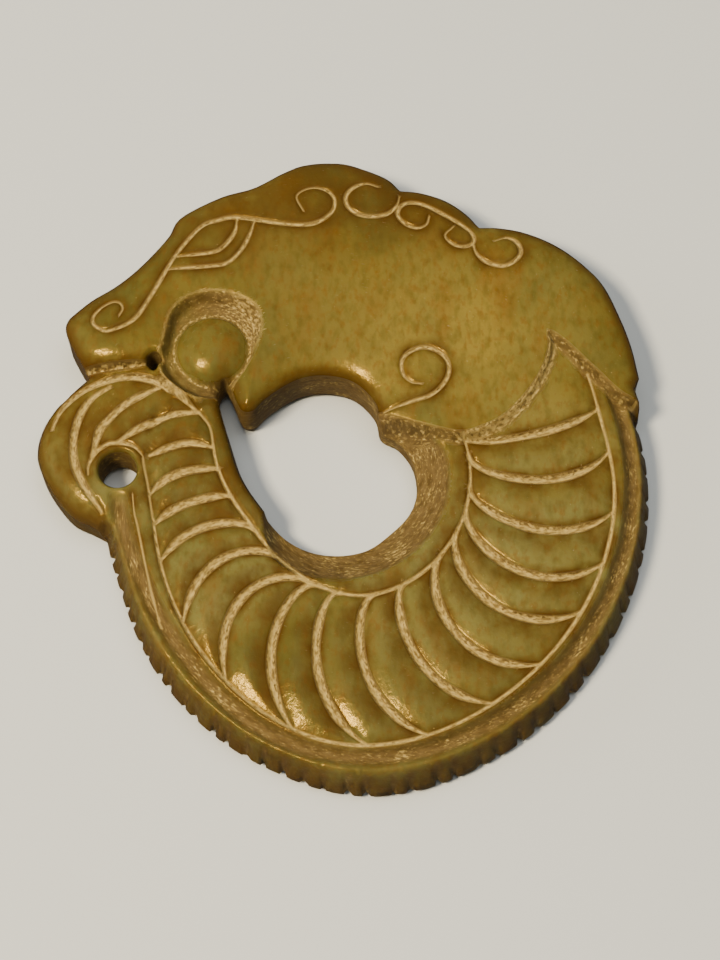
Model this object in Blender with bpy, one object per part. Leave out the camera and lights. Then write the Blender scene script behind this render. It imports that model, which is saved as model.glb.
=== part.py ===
"""Carved jade coiled dragon ring, lying flat on its back.

One solid. +X points away from the snout, +Y towards the crest of the head, +Z out of the
carved front. The origin is under the middle of the ring, on the plane that its back lies on.
The plan is drawn in thousandths of the ring's width; every depth and width of cut is a real size.
"""

import math

import bmesh
import bpy
import numpy as np
from mathutils import Vector
from mathutils.geometry import delaunay_2d_cdt

MM = 0.001

# Overall sizes
RING_WIDTH = 67.0 * MM
HEAD_THICKNESS = 8.0 * MM
BODY_THICKNESS = 7.0 * MM
RIM_THICKNESS = 6.3 * MM

# Rounding of the edges: how far each reaches in, and how far it drops
HEAD_EDGE_REACH = 5.0 * MM
HEAD_EDGE_DROP = 1.7 * MM
BODY_EDGE_REACH = 1.1 * MM
BODY_EDGE_DROP = 1.2 * MM
TAIL_EDGE_REACH = 3.0 * MM
TAIL_EDGE_DROP = 2.4 * MM
BACK_EDGE_REACH = 0.9 * MM
BACK_EDGE_DROP = 0.7 * MM

# Ribs of the body and incised lines
RIB_WIDTH = 1.2 * MM
RIB_DEPTH = 0.5 * MM
SEGMENT_RISE = 0.4 * MM
SEGMENT_ROUNDING = 2.6 * MM
SEGMENT_END_FALL = 0.4 * MM
BORDER_WIDTH = 0.8 * MM
BORDER_DEPTH = 0.35 * MM
LINE_WIDTH = 0.9 * MM
LINE_DEPTH = 0.35 * MM
HEAD_STEP_WIDTH = 0.5 * MM

# Channel and notches that run round the rim
TROUGH_WIDTH = 2.5 * MM
TROUGH_DEPTH = 0.9 * MM
NOTCH_PITCH = 2.4 * MM
NOTCH_WIDTH = 0.9 * MM
NOTCH_DEPTH = 0.35 * MM

# Hollow that falls to the central opening
FLUTE_LIP_THICKNESS = 3.6 * MM

# Round boss in its ground recess
BOSS_DIAMETER = 7.9 * MM
BOSS_RISE = 1.8 * MM
BOSS_MOAT_WIDTH = 0.35 * MM
BOSS_MOAT_WALL = 0.5 * MM
RECESS_DEPTH = 1.7 * MM
RECESS_WALL = 0.9 * MM

# Drilled holes and the cut mouth
HANGING_HOLE_DIAMETER = 4.2 * MM
HANGING_HOLE_MOUTH = 0.6 * MM
PIERCED_HOLE_DIAMETER = 1.8 * MM
PIERCED_HOLE_MOUTH = 0.5 * MM
MOUTH_WIDTH = 1.0 * MM
MOUTH_DEPTH = 0.6 * MM
LIP_REACH = 2.4 * MM
LIP_DROP = 1.5 * MM

# Spacing of the mesh
OUTLINE_STEP = 1.25 * MM
ROW_STEP = 1.15 * MM
ROW_GAP = 0.45 * MM
FILL_STEP = 1.5 * MM
BACK_FILL_STEP = 6.0 * MM
MERGE_GAP = 0.001 * MM

# Plan of the head, its points in thousandths of the ring's width, clockwise from the chin
CHIN = ((-421, 149), (-440, 180), (-454, 207), (-460, 226), (-456, 243), (-440, 259))
FOREHEAD = ((-440, 259), (-417, 279), (-376, 307), (-336, 345), (-296, 395), (-275, 433), (-209, 471),
            (-153, 489), (-102, 518), (-64, 533), (-8, 536), (34, 524), (73, 506), (95, 484))
CREST = ((95, 484), (128, 480), (170, 465), (204, 441), (228, 414))
NAPE = ((228, 414), (262, 413), (304, 404), (354, 381), (399, 346), (433, 305), (460, 240), (475, 191), (485, 137))
TAIL = ((-386, -119), (-407, -108), (-440, -91), (-470, -56), (-491, -19), (-500, 16), (-493, 56),
        (-476, 90), (-452, 118), (-421, 149))
OPENING = ((-195, 138), (-182, 116), (-173, 93), (-164, 80), (-147, 81), (-128, 101), (-96, 125), (-60, 141),
           (-16, 142), (22, 128), (52, 95), (62, 59), (92, 40), (115, 4), (121, -45), (106, -87), (73, -122),
           (38, -147), (-6, -156), (-53, -150), (-96, -126), (-134, -81), (-165, -31), (-186, 32), (-208, 112))

# Ring curves of the body: degrees about the ring's own centre, and radius in thousandths of the width
RING_CENTRE = (-5, -20)
RIM = ((16, 501), (0, 506), (-30, 511), (-60, 521), (-84, 524), (-105, 487), (-130, 439), (-151, 402), (-165, 393))
TROUGH = ((16, 467), (0, 473), (-30, 478), (-70, 484), (-90, 473), (-104, 452), (-119, 416), (-136, 382),
          (-154, 365), (-175, 361))
OUTER_BORDER = ((22, 437), (10, 433), (-8, 445), (-30, 452), (-50, 457), (-75, 464), (-91, 455), (-105, 427),
                (-122, 385), (-142, 343), (-160, 316), (-173, 311), (-183, 320))
INNER_BORDER = ((15, 207), (-7, 211), (-30, 216), (-60, 222), (-80, 220), (-98, 205), (-119, 184), (-140, 174),
                (-152, 175), (-166, 184), (-180, 198), (-197, 220), (-203, 251))
FLUTE = ((44, 116), (34, 134), (25, 152), (15, 168), (8, 176), (-8, 181), (-30, 186), (-60, 190), (-91, 192),
         (-117, 194), (-131, 183), (-141, 162))

# Where the notched ridge rises out of the tail, in degrees
RIM_FADE = (-178, -158)

# Ribs: degrees at the inner border, at the far point of the bow, and at the outer border
RIBS = ((14.5, 10.4, 14.0), (6.2, -3.9, 4.0), (-8.8, -18.9, -9.4), (-17.7, -31.9, -20.9), (-28.8, -44.0, -32.2),
        (-41.1, -56.9, -45.9), (-61.7, -69.8, -58.4), (-74.3, -83.9, -72.6), (-89.4, -97.2, -84.5),
        (-98.1, -110.4, -99.4), (-98.4, -124.4, -116.3), (-118.7, -140.0, -133.2), (-139.7, -154.5, -150.9),
        (-163.6, -166.3, -162.0), (-179.3, -178.9, -171.4))
RIB_BOW_SHARE = 0.65

# Carved lines, in thousandths of the ring's width
LINES = {
    "brow and snout curl": (
        (-370, 242), (-365, 254), (-370, 265), (-382, 268), (-399, 259), (-412, 243), (-413, 228), (-401, 217),
        (-384, 214), (-345, 235), (-316, 283), (-280, 354), (-241, 404), (-213, 417), (-179, 422), (-101, 410),
        (-60, 409), (-36, 418), (-19, 435), (-16, 455), (-26, 470), (-46, 478), (-67, 474), (-80, 460), (-68, 434)),
    "inner eye line": ((-179, 419), (-183, 394), (-199, 370), (-220, 357), (-276, 350)),
    "outer eye line": ((-150, 415), (-158, 389), (-171, 362), (-192, 339), (-218, 332), (-295, 326)),
    "first crest curl": (
        (56, 483), (37, 488), (16, 479), (3, 462), (6, 443), (23, 428), (50, 424), (74, 430), (89, 447), (93, 464)),
    "second crest curl": (
        (143, 425), (138, 409), (122, 402), (102, 410), (90, 427), (95, 444), (112, 452), (140, 445), (198, 410),
        (216, 391), (214, 374), (197, 368), (179, 374), (169, 389), (182, 405)),
    "third crest curl": (
        (215, 376), (221, 355), (237, 339), (264, 332), (285, 342), (295, 359), (289, 378), (272, 387), (254, 381)),
    "shoulder curl": (
        (125, 119), (110, 122), (97, 136), (95, 159), (108, 176), (131, 184), (154, 177), (170, 159), (171, 136),
        (159, 114), (140, 98), (113, 89), (66, 73)),
    "ring round the hanging hole": (
        (-412, -32), (-412, -15), (-402, 5), (-389, 17), (-374, 23), (-343, 19), (-325, 1)),
    "upper edge of the tail": (
        (-474, 50), (-465, 78), (-448, 100), (-428, 116), (-412, 124), (-393, 131), (-366, 138), (-338, 139),
        (-308, 131), (-281, 116), (-255, 94), (-237, 76)),
    "outer line of the tail": (
        (-383, 121), (-408, 103), (-424, 85), (-437, 38), (-434, -15), (-416, -54), (-389, -92)),
    "middle line of the tail": ((-301, 121), (-341, 101), (-365, 83), (-383, 63), (-397, 43), (-407, 1)),
    "inner line of the tail": ((-238, 76), (-264, 75), (-288, 69), (-335, 47), (-366, 25)),
    "first rib of the tail": ((-212, 15), (-240, 22), (-268, 20), (-315, 2)),
}
MOUTH = ((-430, 154), (-407, 154), (-377, 156), (-347, 159), (-321, 163))
HEAD_STEP = ((60, 73), (96, 61), (155, 42), (191, 35), (224, 44), (258, 62), (286, 89), (312, 124), (329, 158),
             (337, 189), (337, 214), (366, 194), (402, 156), (444, 114), (471, 98), (560, 60))
BRIDGE = ((-195, 125), (-60, 100))
HEAD_BEYOND = ((700, 300), (300, 700), (-300, 700), (-700, 300), (-480, 152))
RECESS = ((-297, 205), (-290, 240), (-277, 262), (-254, 280), (-217, 288), (-176, 281), (-146, 262), (-134, 233),
          (-138, 200), (-155, 165), (-176, 128), (-205, 100), (-240, 96), (-275, 113), (-299, 141), (-304, 174))
BOSS = (-217, 188)
HANGING_HOLE = (-365, -21)
PIERCED_HOLE = (-311, 167)


def plan(*points):
    """Points given in thousandths of the ring's width, as an array in metres."""
    return np.array(points, float) * RING_WIDTH / 1000


def smooth(points, closed=False, steps=8):
    """A Catmull-Rom curve through the points, as a dense polyline."""
    points = np.asarray(points, float)
    if closed:
        padded = np.concatenate([points[-1:], points, points[:2]])
    else:
        padded = np.concatenate([2 * points[:1] - points[1:2], points, 2 * points[-1:] - points[-2:-1]])
    t = np.linspace(0, 1, steps, endpoint=False)[:, None]
    spans = []
    for a, b, c, d in zip(padded, padded[1:], padded[2:], padded[3:]):
        spans.append(0.5 * (2 * b + (c - a) * t + (2 * a - 5 * b + 4 * c - d) * t ** 2
                            + (3 * b - a - 3 * c + d) * t ** 3))
    line = np.concatenate(spans)
    return line if closed else np.concatenate([line, points[-1:]])


def ring_radius(knots, degrees):
    """Radius of a ring curve at the given angles, in metres."""
    line = smooth(sorted(knots))
    return np.interp(degrees, line[:, 0], line[:, 1]) * RING_WIDTH / 1000


def ring_point(degrees, radius):
    """Plan point at an angle and a radius about the ring's own centre."""
    angle = np.radians(degrees)
    return plan(RING_CENTRE)[0] + np.stack([np.cos(angle), np.sin(angle)], -1) * np.asarray(radius)[..., None]


def ring_curve(knots, first=None, last=None):
    """The whole of a ring curve, or the stretch between two angles, as a dense polyline."""
    first = knots[0][0] if first is None else first
    last = knots[-1][0] if last is None else last
    degrees = np.linspace(first, last, 120)
    return ring_point(degrees, ring_radius(knots, degrees))


def ring_place(points):
    """Angle in degrees and radius of plan points about the ring's own centre."""
    offset = points - plan(RING_CENTRE)[0]
    degrees = np.degrees(np.arctan2(offset[:, 1], offset[:, 0]))
    return np.where(degrees > 60, degrees - 360, degrees), np.hypot(offset[:, 0], offset[:, 1])


def rib_curve(inner, far, outer):
    """One rib: a cubic that bows back from the inner border to the outer one."""
    bow = (8 * far - inner - outer) / 6
    t = np.linspace(0, 1, 30)
    weights = np.stack([(1 - t) ** 3, 3 * t * (1 - t) ** 2, 3 * t ** 2 * (1 - t), t ** 3], -1)
    degrees = weights @ np.array([inner, bow, bow, outer])
    share = weights @ np.array([0, 0, RIB_BOW_SHARE, 1])
    low, high = ring_radius(INNER_BORDER, degrees), ring_radius(OUTER_BORDER, degrees)
    return ring_point(degrees, low + (high - low) * share)


def circle(centre, diameter, count=24):
    """A circle as a closed loop of points."""
    angle = np.linspace(0, 2 * math.pi, count, endpoint=False)
    return plan(centre)[0] + np.stack([np.cos(angle), np.sin(angle)], -1) * diameter / 2


def resampled(line, step, closed=False):
    """The line with points an even distance apart, its ends kept."""
    if closed:
        line = np.concatenate([line, line[:1]])
    length = np.concatenate([[0], np.cumsum(np.linalg.norm(np.diff(line, axis=0), axis=1))])
    count = max(2, round(length[-1] / step) + 1)
    at = np.linspace(0, length[-1], count)
    even = np.stack([np.interp(at, length, line[:, k]) for k in (0, 1)], -1)
    return even[:-1] if closed else even


def inward_offset(loop, distance, closed=True):
    """The points of a line moved to its left by a distance."""
    if closed:
        along = np.roll(loop, -1, 0) - np.roll(loop, 1, 0)
    else:
        along = np.gradient(loop, axis=0)
    along /= np.linalg.norm(along, axis=1)[:, None]
    return loop + np.stack([-along[:, 1], along[:, 0]], -1) * distance


def distance_to(points, line, closed=False):
    """Shortest distance from each point to a polyline."""
    start = line if closed else line[:-1]
    run = (np.roll(line, -1, 0) - line)[:len(start)]
    best = np.full(len(points), np.inf)
    for a, along in zip(start, run):
        offset = points - a
        share = np.clip(offset @ along / max(along @ along, 1e-18), 0, 1)
        best = np.minimum(best, np.hypot(*(offset - share[:, None] * along).T))
    return best


def inside(points, loop):
    """Whether each point lies inside a closed loop."""
    result = np.zeros(len(points), bool)
    for (x0, y0), (x1, y1) in zip(loop, np.roll(loop, -1, 0)):
        crosses = (y0 > points[:, 1]) != (y1 > points[:, 1])
        if y0 != y1:
            result ^= crosses & (points[:, 0] < x0 + (points[:, 1] - y0) * (x1 - x0) / (y1 - y0))
    return result


def ease(value, low, high):
    """0 up to low, 1 from high, and a smooth rise between."""
    share = np.clip((value - low) / (high - low), 0, 1)
    return share * share * (3 - 2 * share)


def rounding(distance, reach, drop):
    """How far a rounded edge falls at a distance in from the outline."""
    share = 1 - np.clip(distance / reach, 0, 1)
    return drop * (1 - np.sqrt(1 - share ** 2))


def cut(distance, width, depth):
    """Depth of a groove with sloping sides and a narrow floor."""
    return depth * (1 - ease(distance, 0.1 * width, 0.5 * width))


def rim_outline():
    """The rim with its row of notches: two shoulders and a floor to each."""
    degrees = np.linspace(RIM[0][0], RIM[-1][0], 400)
    line = ring_point(degrees, ring_radius(RIM, degrees))
    length = np.concatenate([[0], np.cumsum(np.linalg.norm(np.diff(line, axis=0), axis=1))])
    count = int((length[-1] - NOTCH_PITCH) / NOTCH_PITCH)
    at, depth = [0.0], [0.0]
    for index in range(count):
        middle = (index + 1) * length[-1] / (count + 1)
        at += [middle - NOTCH_WIDTH / 2, middle, middle + NOTCH_WIDTH / 2]
        depth += [0.0, NOTCH_DEPTH, 0.0]
    at.append(length[-1])
    depth.append(0.0)
    turned = np.interp(at, length, degrees)
    return ring_point(turned, ring_radius(RIM, turned) - np.array(depth))


def outline():
    """The whole outer edge as one closed loop, clockwise."""
    stretches = [resampled(smooth(plan(*knots)), OUTLINE_STEP) for knots in (CHIN, FOREHEAD, CREST, NAPE)]
    stretches.append(rim_outline())
    stretches.append(resampled(smooth(plan(*TAIL)), OUTLINE_STEP)[:-1])
    joined = [stretches[0]]
    for stretch in stretches[1:]:
        touching = np.linalg.norm(stretch[0] - joined[-1][-1]) < 0.3 * OUTLINE_STEP
        joined.append(stretch[1:] if touching else stretch)
    return np.concatenate(joined)


def opening():
    """The central opening with the slot at its upper left, counter-clockwise."""
    return resampled(smooth(plan(*OPENING), closed=True), OUTLINE_STEP, closed=True)[::-1]


def carved_lines():
    """Each incised line with its width and depth."""
    lines = [(smooth(plan(*knots)), LINE_WIDTH, LINE_DEPTH) for knots in LINES.values()]
    lines += [(rib_curve(*rib), RIB_WIDTH, RIB_DEPTH) for rib in RIBS]
    lines += [(ring_curve(knots), BORDER_WIDTH, BORDER_DEPTH) for knots in (INNER_BORDER, OUTER_BORDER)]
    lines.append((smooth(plan(*MOUTH)), MOUTH_WIDTH, MOUTH_DEPTH))
    return lines


def body_height(points, loops, lines):
    """Front of the ribbed body, its border bands, the channel round the rim and the notched ridge."""
    degrees, radius = ring_place(points)
    low, high = ring_radius(INNER_BORDER, degrees), ring_radius(OUTER_BORDER, degrees)
    share = np.clip((radius - low) / (high - low), 0, 1)
    between = ease(radius - low, 0, BORDER_WIDTH) * ease(high - radius, 0, BORDER_WIDTH)
    beside = np.min([distance_to(points, line) - width / 2 for line, width, _ in lines], axis=0)
    crown = between * (1 - (1 - np.clip(beside / SEGMENT_ROUNDING, 0, 1)) ** 2)
    height = BODY_THICKNESS - SEGMENT_RISE * (1 - crown) - SEGMENT_END_FALL * ease(share, 0.7, 1.05) * between
    channel = ring_curve(TROUGH)
    to_channel = distance_to(points, channel)
    beyond = np.where(radius > ring_radius(TROUGH, degrees), to_channel, -to_channel)
    on_rim = ease(beyond, -TROUGH_WIDTH / 2, TROUGH_WIDTH / 2) * ease(degrees, *RIM_FADE)
    height += (RIM_THICKNESS - BODY_THICKNESS) * on_rim
    past_hole = ease(distance_to(points, loops[2], True), HANGING_HOLE_MOUTH / 2, HANGING_HOLE_MOUTH * 2)
    height -= cut(to_channel, TROUGH_WIDTH, TROUGH_DEPTH) * past_hole
    at_rim = rounding(distance_to(points, ring_curve(RIM)), BODY_EDGE_REACH, BODY_EDGE_DROP)
    at_tail = rounding(distance_to(points, smooth(plan(*TAIL))), TAIL_EDGE_REACH, TAIL_EDGE_DROP)
    return height - np.maximum(at_rim, at_tail)


def fluted(points, height, loops):
    """The hollow that falls from the inner band to the lip of the central opening."""
    degrees, radius = ring_place(points)
    edge = ring_radius(FLUTE, degrees)
    to_lip = distance_to(points, loops[1], True)
    share = np.clip(to_lip / np.maximum(to_lip + edge - radius, MERGE_GAP), 0, 1)
    hollow = FLUTE_LIP_THICKNESS + (height - FLUTE_LIP_THICKNESS) * share ** 1.6
    covered = (degrees < FLUTE[0][0]) & (degrees > FLUTE[-1][0]) & (radius < edge)
    plain = height - rounding(to_lip, BODY_EDGE_REACH, BODY_EDGE_DROP)
    return np.where(covered, np.minimum(hollow, plain), plain)


def head_height(points, loops):
    """The domed head with its boss in a ground recess."""
    to_edge = np.minimum(distance_to(points, loops[0], True), distance_to(points, loops[1], True))
    height = HEAD_THICKNESS - rounding(to_edge, HEAD_EDGE_REACH, HEAD_EDGE_DROP)
    height -= rounding(distance_to(points, smooth(plan(*MOUTH))), LIP_REACH, LIP_DROP)
    recess = smooth(plan(*RECESS), closed=True)
    within = np.where(inside(points, recess), distance_to(points, recess, True), 0)
    height -= RECESS_DEPTH * ease(within, 0, RECESS_WALL)
    floor = HEAD_THICKNESS - RECESS_DEPTH
    to_boss = np.hypot(*(points - plan(BOSS)[0]).T) - BOSS_DIAMETER / 2
    moat = 1 - ease(to_boss, BOSS_MOAT_WIDTH, BOSS_MOAT_WIDTH + BOSS_MOAT_WALL)
    height += (np.minimum(height, floor) - height) * moat
    from_boss = 1 + to_boss / (BOSS_DIAMETER / 2)
    dome = floor + BOSS_RISE * np.clip(1 - from_boss ** 2, 0, 1) ** 0.7
    return np.where(from_boss < 1, np.maximum(height, dome), height)


def front_height(points, loops, lines):
    """Height of the carved front over plan points."""
    height = fluted(points, body_height(points, loops, lines), loops)
    step = np.concatenate([smooth(plan(*HEAD_STEP)), plan(*HEAD_BEYOND), smooth(plan(*MOUTH)),
                           plan(PIERCED_HOLE, *RECESS[-1:-6:-1], *BRIDGE)])
    over_step = np.where(inside(points, step), 1, -1) * distance_to(points, step, True)
    on_head = ease(over_step, -HEAD_STEP_WIDTH, 0)
    height += (head_height(points, loops) - height) * on_head
    height -= np.max([cut(distance_to(points, line), width, depth) for line, width, depth in lines], axis=0)
    for loop, mouth in ((loops[2], HANGING_HOLE_MOUTH), (loops[3], PIERCED_HOLE_MOUTH)):
        height -= rounding(distance_to(points, loop, True), mouth, mouth)
    return height


def back_height(points, loops):
    """Height of the plain flat back, rounded at every edge."""
    edges = np.min([distance_to(points, loop, True) for loop in loops], axis=0)
    return rounding(edges, BACK_EDGE_REACH, BACK_EDGE_DROP)


def laid_points(loops, rows, fill_step):
    """Plan points: the loops whole, then each row's points and an even fill where there is room."""
    points = [tuple(p) for loop in loops for p in loop]
    cell = fill_step
    grid = {}

    def near(p, gap):
        cx, cy = int(p[0] // cell), int(p[1] // cell)
        for i in range(cx - 1, cx + 2):
            for j in range(cy - 1, cy + 2):
                for q in grid.get((i, j), ()):
                    if (p[0] - q[0]) ** 2 + (p[1] - q[1]) ** 2 < gap * gap:
                        return True
        return False

    def lay(p):
        grid.setdefault((int(p[0] // cell), int(p[1] // cell)), []).append(p)

    for p in points:
        lay(p)
    links = []
    start = 0
    for loop in loops:
        links += [(start + k, start + (k + 1) % len(loop)) for k in range(len(loop))]
        start += len(loop)
    for row, gap, linked in rows:
        previous = None
        usable = inside(row, loops[0])
        for loop in loops[1:]:
            usable &= ~inside(row, loop)
        for p, fits in zip(map(tuple, row), usable):
            if fits and not near(p, gap):
                lay(p)
                points.append(p)
                if linked and previous is not None:
                    links.append((previous, len(points) - 1))
                previous = len(points) - 1
            else:
                previous = None
    low, high = loops[0].min(0), loops[0].max(0)
    across = math.sqrt(0.75) * fill_step
    spots = []
    for j, y in enumerate(np.arange(low[1], high[1], across)):
        spots += [(x + (j % 2) * fill_step / 2, y) for x in np.arange(low[0], high[0], fill_step)]
    spots = np.array(spots)
    usable = inside(spots, loops[0])
    for loop in loops[1:]:
        usable &= ~inside(spots, loop)
    for p in map(tuple, spots[usable]):
        if not near(p, 0.62 * fill_step):
            lay(p)
            points.append(p)
    return points, links


def triangulated(loops, rows, fill_step):
    """Plan vertices, triangles inside the outline and outside the holes, and where each input point went."""
    points, links = laid_points(loops, rows, fill_step)
    verts, _, faces, origins, _, _ = delaunay_2d_cdt([Vector(p) for p in points], links, [], 0, MERGE_GAP)
    verts = np.array([tuple(v) for v in verts])
    faces = np.array(faces)
    middles = verts[faces].mean(axis=1)
    kept = inside(middles, loops[0])
    for loop in loops[1:]:
        kept &= ~inside(middles, loop)
    place = {}
    for index, sources in enumerate(origins):
        for source in sources:
            place[source] = index
    return verts, faces[kept], place


def front_rows(loops, lines):
    """Rows of points for the front, each with the gap it keeps, and whether its points are linked."""
    rows = [(circle(BOSS, share * BOSS_DIAMETER, round(22 * share) + 3), ROW_GAP, share == 1)
            for share in (1, 0.86, 0.6, 0.3)]
    rows += [(resampled(line, ROW_STEP), ROW_GAP, True) for line, _, _ in lines]
    channel = resampled(ring_curve(TROUGH), ROW_STEP)
    recess = resampled(smooth(plan(*RECESS), closed=True), ROW_STEP, closed=True)
    step = resampled(smooth(plan(*HEAD_STEP[:-1])), ROW_STEP)
    rows += [(line, ROW_GAP, True) for line in (channel, resampled(ring_curve(FLUTE), ROW_STEP), step, recess)]
    for loop in loops:
        rows += [(inward_offset(loop, -share * BODY_EDGE_REACH), 0.8 * share * BODY_EDGE_REACH, False)
                 for share in (0.35, 1.0)]
    for line, width, _ in lines:
        even = resampled(line, ROW_STEP)
        rows += [(inward_offset(even, side * width, closed=False), 0.4 * width, False) for side in (-0.5, 0.5)]
    rows += [(inward_offset(channel, side * TROUGH_WIDTH, closed=False), ROW_GAP, False) for side in (-0.5, 0.5)]
    rows.append((inward_offset(step, -HEAD_STEP_WIDTH, closed=False), 0.8 * HEAD_STEP_WIDTH, False))
    rows.append((inward_offset(recess, -RECESS_WALL), ROW_GAP, False))
    return rows


def ring_mesh():
    """The whole ring: carved front, plain back and the walls between them."""
    loops = [outline(), opening(), circle(HANGING_HOLE, HANGING_HOLE_DIAMETER)[::-1],
             circle(PIERCED_HOLE, PIERCED_HOLE_DIAMETER, 12)[::-1]]
    lines = carved_lines()
    front, front_faces, front_place = triangulated(loops, front_rows(loops, lines), FILL_STEP)
    back_rows = [(inward_offset(loop, -BACK_EDGE_REACH), ROW_GAP, False) for loop in loops]
    back, back_faces, back_place = triangulated(loops, back_rows, BACK_FILL_STEP)

    heights = front_height(front, loops, lines)
    depths = back_height(back, loops)
    middle = (loops[0].min(0) + loops[0].max(0)) / 2

    mesh = bmesh.new()
    upper = [mesh.verts.new((x, y, z)) for (x, y), z in zip(front - middle, heights)]
    lower = [mesh.verts.new((x, y, z)) for (x, y), z in zip(back - middle, depths)]
    for a, b, c in front_faces:
        mesh.faces.new((upper[a], upper[b], upper[c]))
    for a, b, c in back_faces:
        mesh.faces.new((lower[c], lower[b], lower[a]))
    start = 0
    for loop in loops:
        for k in range(len(loop)):
            one, other = start + k, start + (k + 1) % len(loop)
            mesh.faces.new((upper[front_place[one]], lower[back_place[one]],
                            lower[back_place[other]], upper[front_place[other]]))
        start += len(loop)
    loose = [v for v in mesh.verts if not v.link_faces]
    bmesh.ops.delete(mesh, geom=loose, context="VERTS")
    bmesh.ops.recalc_face_normals(mesh, faces=mesh.faces)
    return mesh


def jade():
    """Polished olive jade."""
    material = bpy.data.materials.new("polished_jade")
    material.use_nodes = True
    shader = material.node_tree.nodes["Principled BSDF"]
    shader.inputs["Base Color"].default_value = (0.19, 0.125, 0.03, 1)
    shader.inputs["Roughness"].default_value = 0.3
    shader.inputs["Metallic"].default_value = 0.0
    return material


def main():
    for thing in list(bpy.data.objects):
        bpy.data.objects.remove(thing, do_unlink=True)
    carving = ring_mesh()
    data = bpy.data.meshes.new("jade_ring")
    carving.to_mesh(data)
    carving.free()
    data.shade_smooth()
    data.set_sharp_from_angle(angle=math.radians(35))
    data.materials.append(jade())
    ring = bpy.data.objects.new("jade_ring", data)
    bpy.context.scene.collection.objects.link(ring)
    print("triangles", sum(len(p.vertices) - 2 for p in data.polygons))


main()
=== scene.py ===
"""A carved jade coiled dragon ring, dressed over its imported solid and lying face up.

The carving is one piece. Its front, back and walls are worked out here as a fine mesh from the
same plan as the solid: curves in thousandths of the ring's width, and cuts in millimetres.
"""

import logging
import math
from dataclasses import dataclass, field
from enum import Enum

import bpy
import numpy as np
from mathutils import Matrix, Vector, noise
from mathutils.geometry import delaunay_2d_cdt
from mathutils.kdtree import KDTree


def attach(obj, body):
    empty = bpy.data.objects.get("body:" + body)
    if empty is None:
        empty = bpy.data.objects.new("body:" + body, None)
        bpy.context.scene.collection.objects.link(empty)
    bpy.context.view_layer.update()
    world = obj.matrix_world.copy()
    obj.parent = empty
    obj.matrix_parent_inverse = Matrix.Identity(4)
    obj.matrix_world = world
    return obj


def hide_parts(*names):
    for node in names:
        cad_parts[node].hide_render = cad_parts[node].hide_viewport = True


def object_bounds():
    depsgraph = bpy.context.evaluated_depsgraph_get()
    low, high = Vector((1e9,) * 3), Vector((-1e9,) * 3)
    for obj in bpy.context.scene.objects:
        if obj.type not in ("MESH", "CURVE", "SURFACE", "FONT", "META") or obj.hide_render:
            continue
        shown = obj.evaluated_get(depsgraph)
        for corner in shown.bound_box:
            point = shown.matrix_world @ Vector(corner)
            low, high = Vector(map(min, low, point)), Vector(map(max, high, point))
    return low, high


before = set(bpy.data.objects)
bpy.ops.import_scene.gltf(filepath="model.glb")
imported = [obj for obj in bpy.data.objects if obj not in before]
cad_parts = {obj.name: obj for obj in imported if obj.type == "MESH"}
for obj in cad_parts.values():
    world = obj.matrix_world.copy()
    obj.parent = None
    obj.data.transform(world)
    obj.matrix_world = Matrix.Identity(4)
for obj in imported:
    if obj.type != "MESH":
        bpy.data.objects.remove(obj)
SOLID_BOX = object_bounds()
LOG = logging.getLogger("jade_ring")

MM = 0.001
NODE = "jade_ring"
Array = np.ndarray
Pair = tuple[float, float]
Triple = tuple[float, float, float]
Knots = tuple[Pair, ...]
Tree = bpy.types.NodeTree
Socket = bpy.types.NodeSocket

# Plan of the head and tail, points in thousandths of the ring's width, clockwise from the chin
CHIN = ((-421, 149), (-440, 180), (-454, 207), (-460, 226), (-456, 243), (-440, 259))
FOREHEAD = (
    (-440, 259), (-417, 279), (-376, 307), (-336, 345), (-296, 395), (-275, 433), (-209, 471),
    (-153, 489), (-102, 518), (-64, 533), (-8, 536), (34, 524), (73, 506), (95, 484))
CREST = ((95, 484), (128, 480), (170, 465), (204, 441), (228, 414))
NAPE = (
    (228, 414), (262, 413), (304, 404), (354, 381), (399, 346), (433, 305), (460, 240), (475, 191),
    (485, 137))
TAIL = (
    (-386, -119), (-407, -108), (-440, -91), (-470, -56), (-491, -19), (-500, 16), (-493, 56),
    (-476, 90), (-452, 118), (-421, 149))
OPENING = (
    (-195, 138), (-182, 116), (-173, 93), (-164, 80), (-147, 81), (-128, 101), (-96, 125),
    (-60, 141), (-16, 142), (22, 128), (52, 95), (62, 59), (92, 40), (115, 4), (121, -45),
    (106, -87), (73, -122), (38, -147), (-6, -156), (-53, -150), (-96, -126), (-134, -81),
    (-165, -31), (-186, 32), (-208, 112))
MOUTH = ((-430, 154), (-407, 154), (-377, 156), (-347, 159), (-321, 163))
HEAD_STEP = (
    (60, 73), (96, 61), (155, 42), (191, 35), (224, 44), (258, 62), (286, 89), (312, 124),
    (329, 158), (337, 189), (337, 214), (366, 194), (402, 156), (444, 114), (471, 98), (560, 60))
HEAD_BEYOND = ((700, 300), (300, 700), (-300, 700), (-700, 300), (-480, 152))
BRIDGE = ((-192, 92), (-176, 62), (-120, 62), (-60, 100))
RECESS = (
    (-297, 205), (-290, 240), (-277, 262), (-254, 280), (-217, 288), (-176, 281), (-146, 262),
    (-134, 233), (-138, 200), (-155, 165), (-176, 128), (-205, 100), (-240, 96), (-275, 113),
    (-299, 141), (-304, 174))
BOSS = (-217, 188)
HANGING_HOLE = (-365, -21)
PIERCED_HOLE = (-311, 167)

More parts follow.
